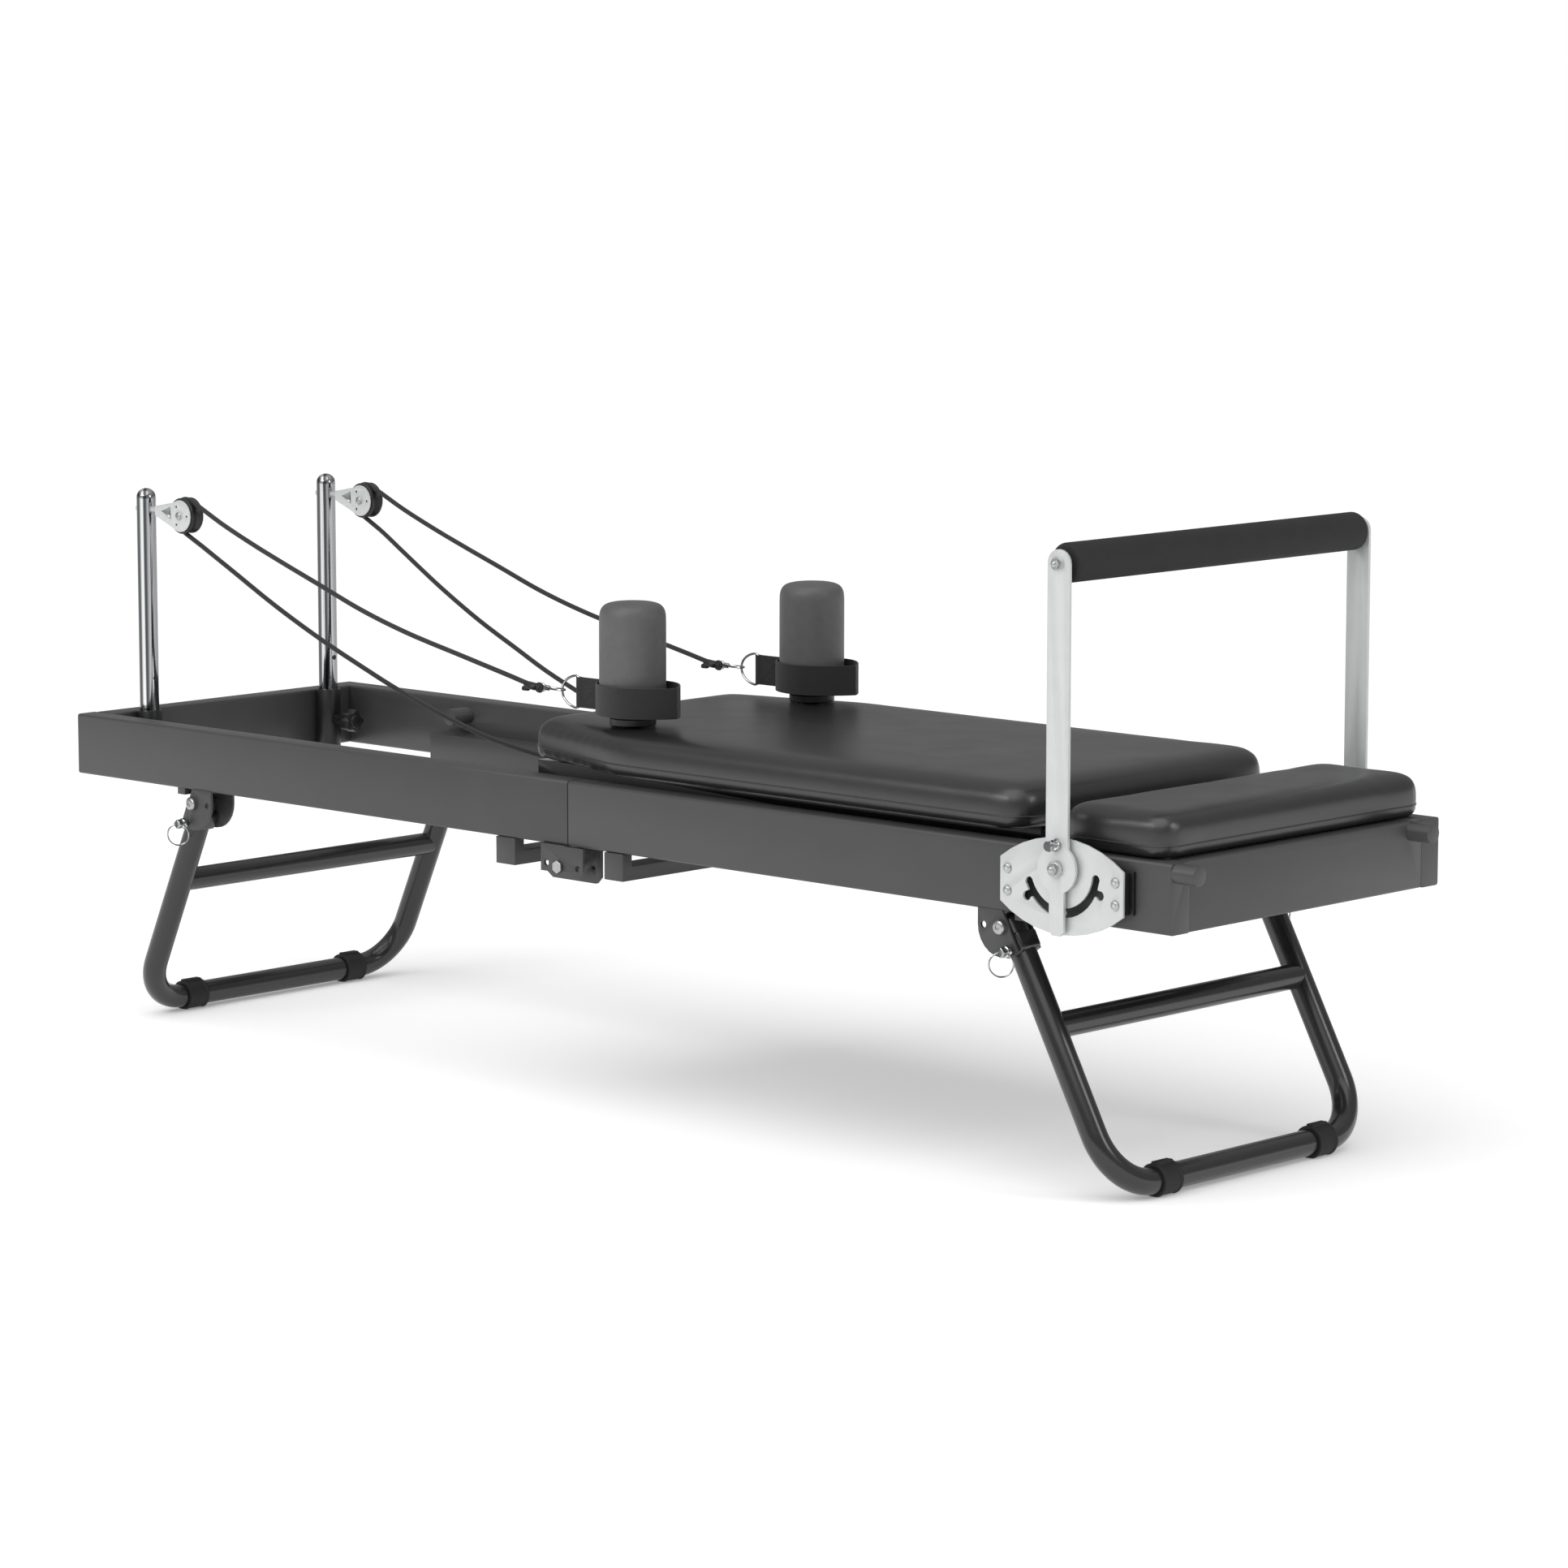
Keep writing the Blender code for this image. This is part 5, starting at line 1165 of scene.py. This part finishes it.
for name, side in SIDES.items():
    post(name, side)
    pulley_wheel(name, side)

# %% [markdown]
# The footbar's grip is a foam tube pushed over steel. Its ends are cut square and roll over a
# little where they meet the arms.


# %% Footbar and rollers
def footbar():
    low, high = span("footbar_grip")
    centre, radius, half = middle("footbar_grip"), (high.x - low.x) / 2, high.y
    bar_radius, bore, lip = 0.0125, 0.0127, 0.0060
    profile = [(bore, -half)] + arc((radius - lip, -half + lip), lip, -pi / 2, 0, 8)
    profile += [(r, -h) for r, h in reversed(profile)]
    made("footbar_grip_foam", placed(turned(profile, centre, (0, 1, 0), 72, bored=True)), FOAM, "footbar", "foam",
         ("footbar_grip",))
    reach = span("footbar_tube")[1].y
    bar = turned([(0, -reach), (bar_radius, -reach), (bar_radius, reach), (0, reach)], centre, (0, 1, 0), 48)
    made("footbar_tube_steel", placed(bar), ZINC, "footbar", "zinc", ("footbar_tube",))


def roller(place, name):
    node = f"carriage_wheel_{place}_{name}"
    centre, (low, high) = middle(node), span(node)
    half, radius, bore = (high.y - low.y) / 2, (high.x - low.x) / 2, 0.0054
    profile = [(bore, -half), (0.011, -half), (0.0115, -half + 0.0012), (0.0165, -half + 0.0012), (0.0172, -half),
               (radius - 0.0020, -half), (radius, -half + 0.0020)]
    profile += [(r, -h) for r, h in reversed(profile)]
    made(f"{node}_roller", placed(turned(profile, centre, (0, 1, 0), 48, bored=True)), ABS, node, "black_plastic",
         (node,))


footbar()
for name in SIDES:
    for place in ("front", "rear"):
        roller(place, name)

# %% [markdown]
# ## Fasteners
# Round button-head screws hold the side plates, each with a hexagon socket: the socket is the
# dark spot that makes it read as a screw. Domed nuts on thin washers finish the footbar's pivots.


# %% Screws and nuts
PLATE_Z = -0.0463                  # middle of a footbar side plate
PLATE_FACE, ARM_FACE = 0.3243, 0.3343  # outer faces of the side plate and the footbar's arm
FOOTBAR_X, PIVOT_Z, GRIP_Z = 2.130, -0.021, 0.3955


def button_head(name, centre, side, radius, height, body):
    """A domed screw head with a socket, its base on a face, pointing away from the machine."""
    socket = radius * 0.42
    dome = [(socket + (radius - socket) * sin(a), height * cos(a)) for a in [pi / 2 * i / 8 for i in range(9)]]
    profile = [(0, height * 0.25), (socket * 0.9, height * 0.25), (socket, height * 0.35)] + dome
    profile += [(radius, -0.0004), (0, -0.0004)]
    made(name, placed(turned(profile, centre, (0, side, 0), 36)), ZINC, body, "zinc", angle=40)


def domed_nut(name, centre, side, radius, body):
    """A thin washer, a hexagon and a domed end."""
    washer = turned([(0, -0.0002), (radius * 1.30, -0.0002), (radius * 1.30, 0.0010), (radius * 1.22, 0.0014),
                     (0, 0.0014)], centre, (0, side, 0), 36)
    nut = turned([(0, 0.0012), (radius, 0.0012), (radius, 0.0046), (radius * 0.86, 0.0054), (0, 0.0054)], centre,
                 (0, side, 0), 6)
    dome = turned([(0, 0.0050)] + [(radius * 0.74 * cos(a), 0.0052 + radius * 0.55 * sin(a)) for a in
                                   [pi / 2 * i / 8 for i in range(8)]] + [(0, 0.0052 + radius * 0.55)],
                  centre, (0, side, 0), 36)
    made(name, placed(joined(washer, nut, dome)), ZINC, body, "zinc", angle=30)


def fasteners(name, side):
    plate_low, plate_high = span(f"footbar_plate_{name}")
    mid_x, half = (plate_low.x + plate_high.x) / 2, (plate_high.x - plate_low.x) / 2
    for way, word in ((-1, "head"), (1, "foot")):
        for rise, level in ((-0.0155, "low"), (0.0155, "high")):
            spot = (mid_x + way * (half - 0.0135), side * PLATE_FACE, PLATE_Z + rise)
            button_head(f"plate_screw_{word}_{level}_{name}", spot, side, 0.0074, 0.0044, "foot_frame")
    domed_nut(f"footbar_pivot_nut_{name}", (FOOTBAR_X, side * 0.3403, PIVOT_Z), side, 0.0082, "foot_frame")
    domed_nut(f"footbar_top_nut_{name}", (FOOTBAR_X, side * 0.3387, GRIP_Z), side, 0.0072, "footbar")
    for end, (x, z) in LEG_PIVOTS.items():
        button_head(f"{end}_leg_screw_{name}", (x, side * 0.3061, z), side, 0.0100, 0.0030, f"{end}_frame")
    for way in (-1, 1):
        spot = (WHEEL.x, side * WHEEL.y + way * 0.0178, WHEEL.z)
        button_head(f"axle_screw_{name}_{'inner' if way != side else 'outer'}", spot, way, 0.0064, 0.0022,
                    "head_frame")


for name, side in SIDES.items():
    fasteners(name, side)

# %% [markdown]
# The blocks that hold each side plate off the rail are black plastic, in two steps. They cap the
# welded spacers, and they show as a dark stair beside the plate's bright edge.


# %% Spacer blocks and pegs
def spacer_blocks(name, side):
    low, high = span(f"footbar_plate_{name}")
    for word, way, end_x in (("head", -1, low.x), ("foot", 1, high.x)):
        near_x, far_x = end_x - way * 0.0285, end_x - way * 0.0022
        steps = []
        for tip, tall, faces in ((far_x, 0.0290, (0.3062, 0.3200)), (far_x + way * 0.0052, 0.0300, (0.3004, 0.3063))):
            outline = [(near_x, PLATE_Z - tall), (tip, PLATE_Z - tall), (tip, PLATE_Z + tall),
                       (near_x, PLATE_Z + tall)]
            steps.append(slab(outline, "Y", [side * face for face in faces], 0.0010))
        bm = joined(*steps)
        made(f"spacer_block_{word}_{name}", placed(bm), ABS, "foot_frame", "black_plastic")


for name, side in SIDES.items():
    spacer_blocks(name, side)

# %% [markdown]
# ## Pull pins and plungers
# A spring pin locks each leg. Its cap is a pressed steel tab, and a split ring hangs from it for
# the finger. The plunger above the footbar's pivot has a turned knob with a waist.


# %% Pins and plungers
PIN_REACH = 0.036                  # down the leg from its pivot
RING_RADIUS, RING_OUT, RING_YAW = 0.0170, 0.0135, radians(40)


def pull_pin(end, name, side):
    """Collar and cap of a leg's pin, and its split ring, which hangs turned a little outwards."""
    node = f"{end}_leg_pin_{name}"
    spot = leg_point(end, PIN_REACH)
    face = HALF_WIDTH * side
    centre = (spot.x, face, spot.z)
    collar = turned([(0, -0.012), (0.0038, -0.012), (0.0038, 0.0004), (0.0085, 0.0004), (0.0085, 0.0050),
                     (0.0076, 0.0062), (0.0062, 0.0066), (0.0062, 0.0096), (0, 0.0096)], centre, (0, side, 0), 36)
    square = rounded([(spot.x - 0.0085, spot.z), (spot.x, spot.z - 0.0085), (spot.x + 0.0085, spot.z),
                      (spot.x, spot.z + 0.0085)], (0.0028,) * 4, 4)
    cap = slab(square, "Y", (face + side * 0.0090, face + side * 0.0163), 0.0012, 3)
    ring = []
    for a in circle(56):
        level = RING_RADIUS * sin(a)
        ring.append((spot.x + level * cos(RING_YAW), face + side * (RING_OUT - level * sin(RING_YAW)),
                     spot.z - RING_RADIUS - RING_RADIUS * cos(a)))
    made(f"{node}_body", placed(joined(collar, cap)), PAINTED_REFLECTION_CHROME, node, "chrome", (node,), angle=45)
    made(f"{node}_ring", placed(sleeve(ring, 0.0012, 12, closed=True)), PAINTED_REFLECTION_CHROME, node, "chrome")


def plunger(name, side):
    node = f"footbar_plunger_{name}"
    centre = middle(node)
    low, high = span(node)
    face = side * ARM_FACE
    reach = abs(high.y if side > 0 else low.y) - abs(face)
    profile = [(0, -0.0090), (0.0038, -0.0090), (0.0038, 0.0004), (0.0085, 0.0004), (0.0085, 0.0056),
               (0.0074, 0.0072), (0.0050, 0.0080), (0.0050, 0.0120), (0.0072, 0.0136), (0.0076, reach - 0.0020),
               (0.0066, reach - 0.0004), (0, reach)]
    made(f"{node}_knob", placed(turned(profile, (centre.x, face, centre.z), (0, side, 0), 40)), PAINTED_REFLECTION_CHROME, node,
         "chrome", (node,))


for name, side in SIDES.items():
    plunger(name, side)
    for end in LEG_PIVOTS:
        pull_pin(end, name, side)

# %% Finishes of what stays
PAINTS = {"rail_paint": POWDER, "gloss_paint": GLOSS, "silver_paint": SILVER, "chrome": PAINTED_REFLECTION_CHROME, "zinc": ZINC,
          "spring_steel": SPRING_WIRE, "black_plastic": ABS, "rubber": RUBBER, "foam": FOAM, "pad_vinyl": PAD_VINYL,
          "rest_vinyl": REST_VINYL, "webbing": WEBBING, "rope": ROPE}
for part in frame["record"]["subparts"]:
    mesh = frame["nodes"][part["node"]].data
    mesh.materials.clear()
    mesh.materials.append(PAINTS[part["material_slot"]])
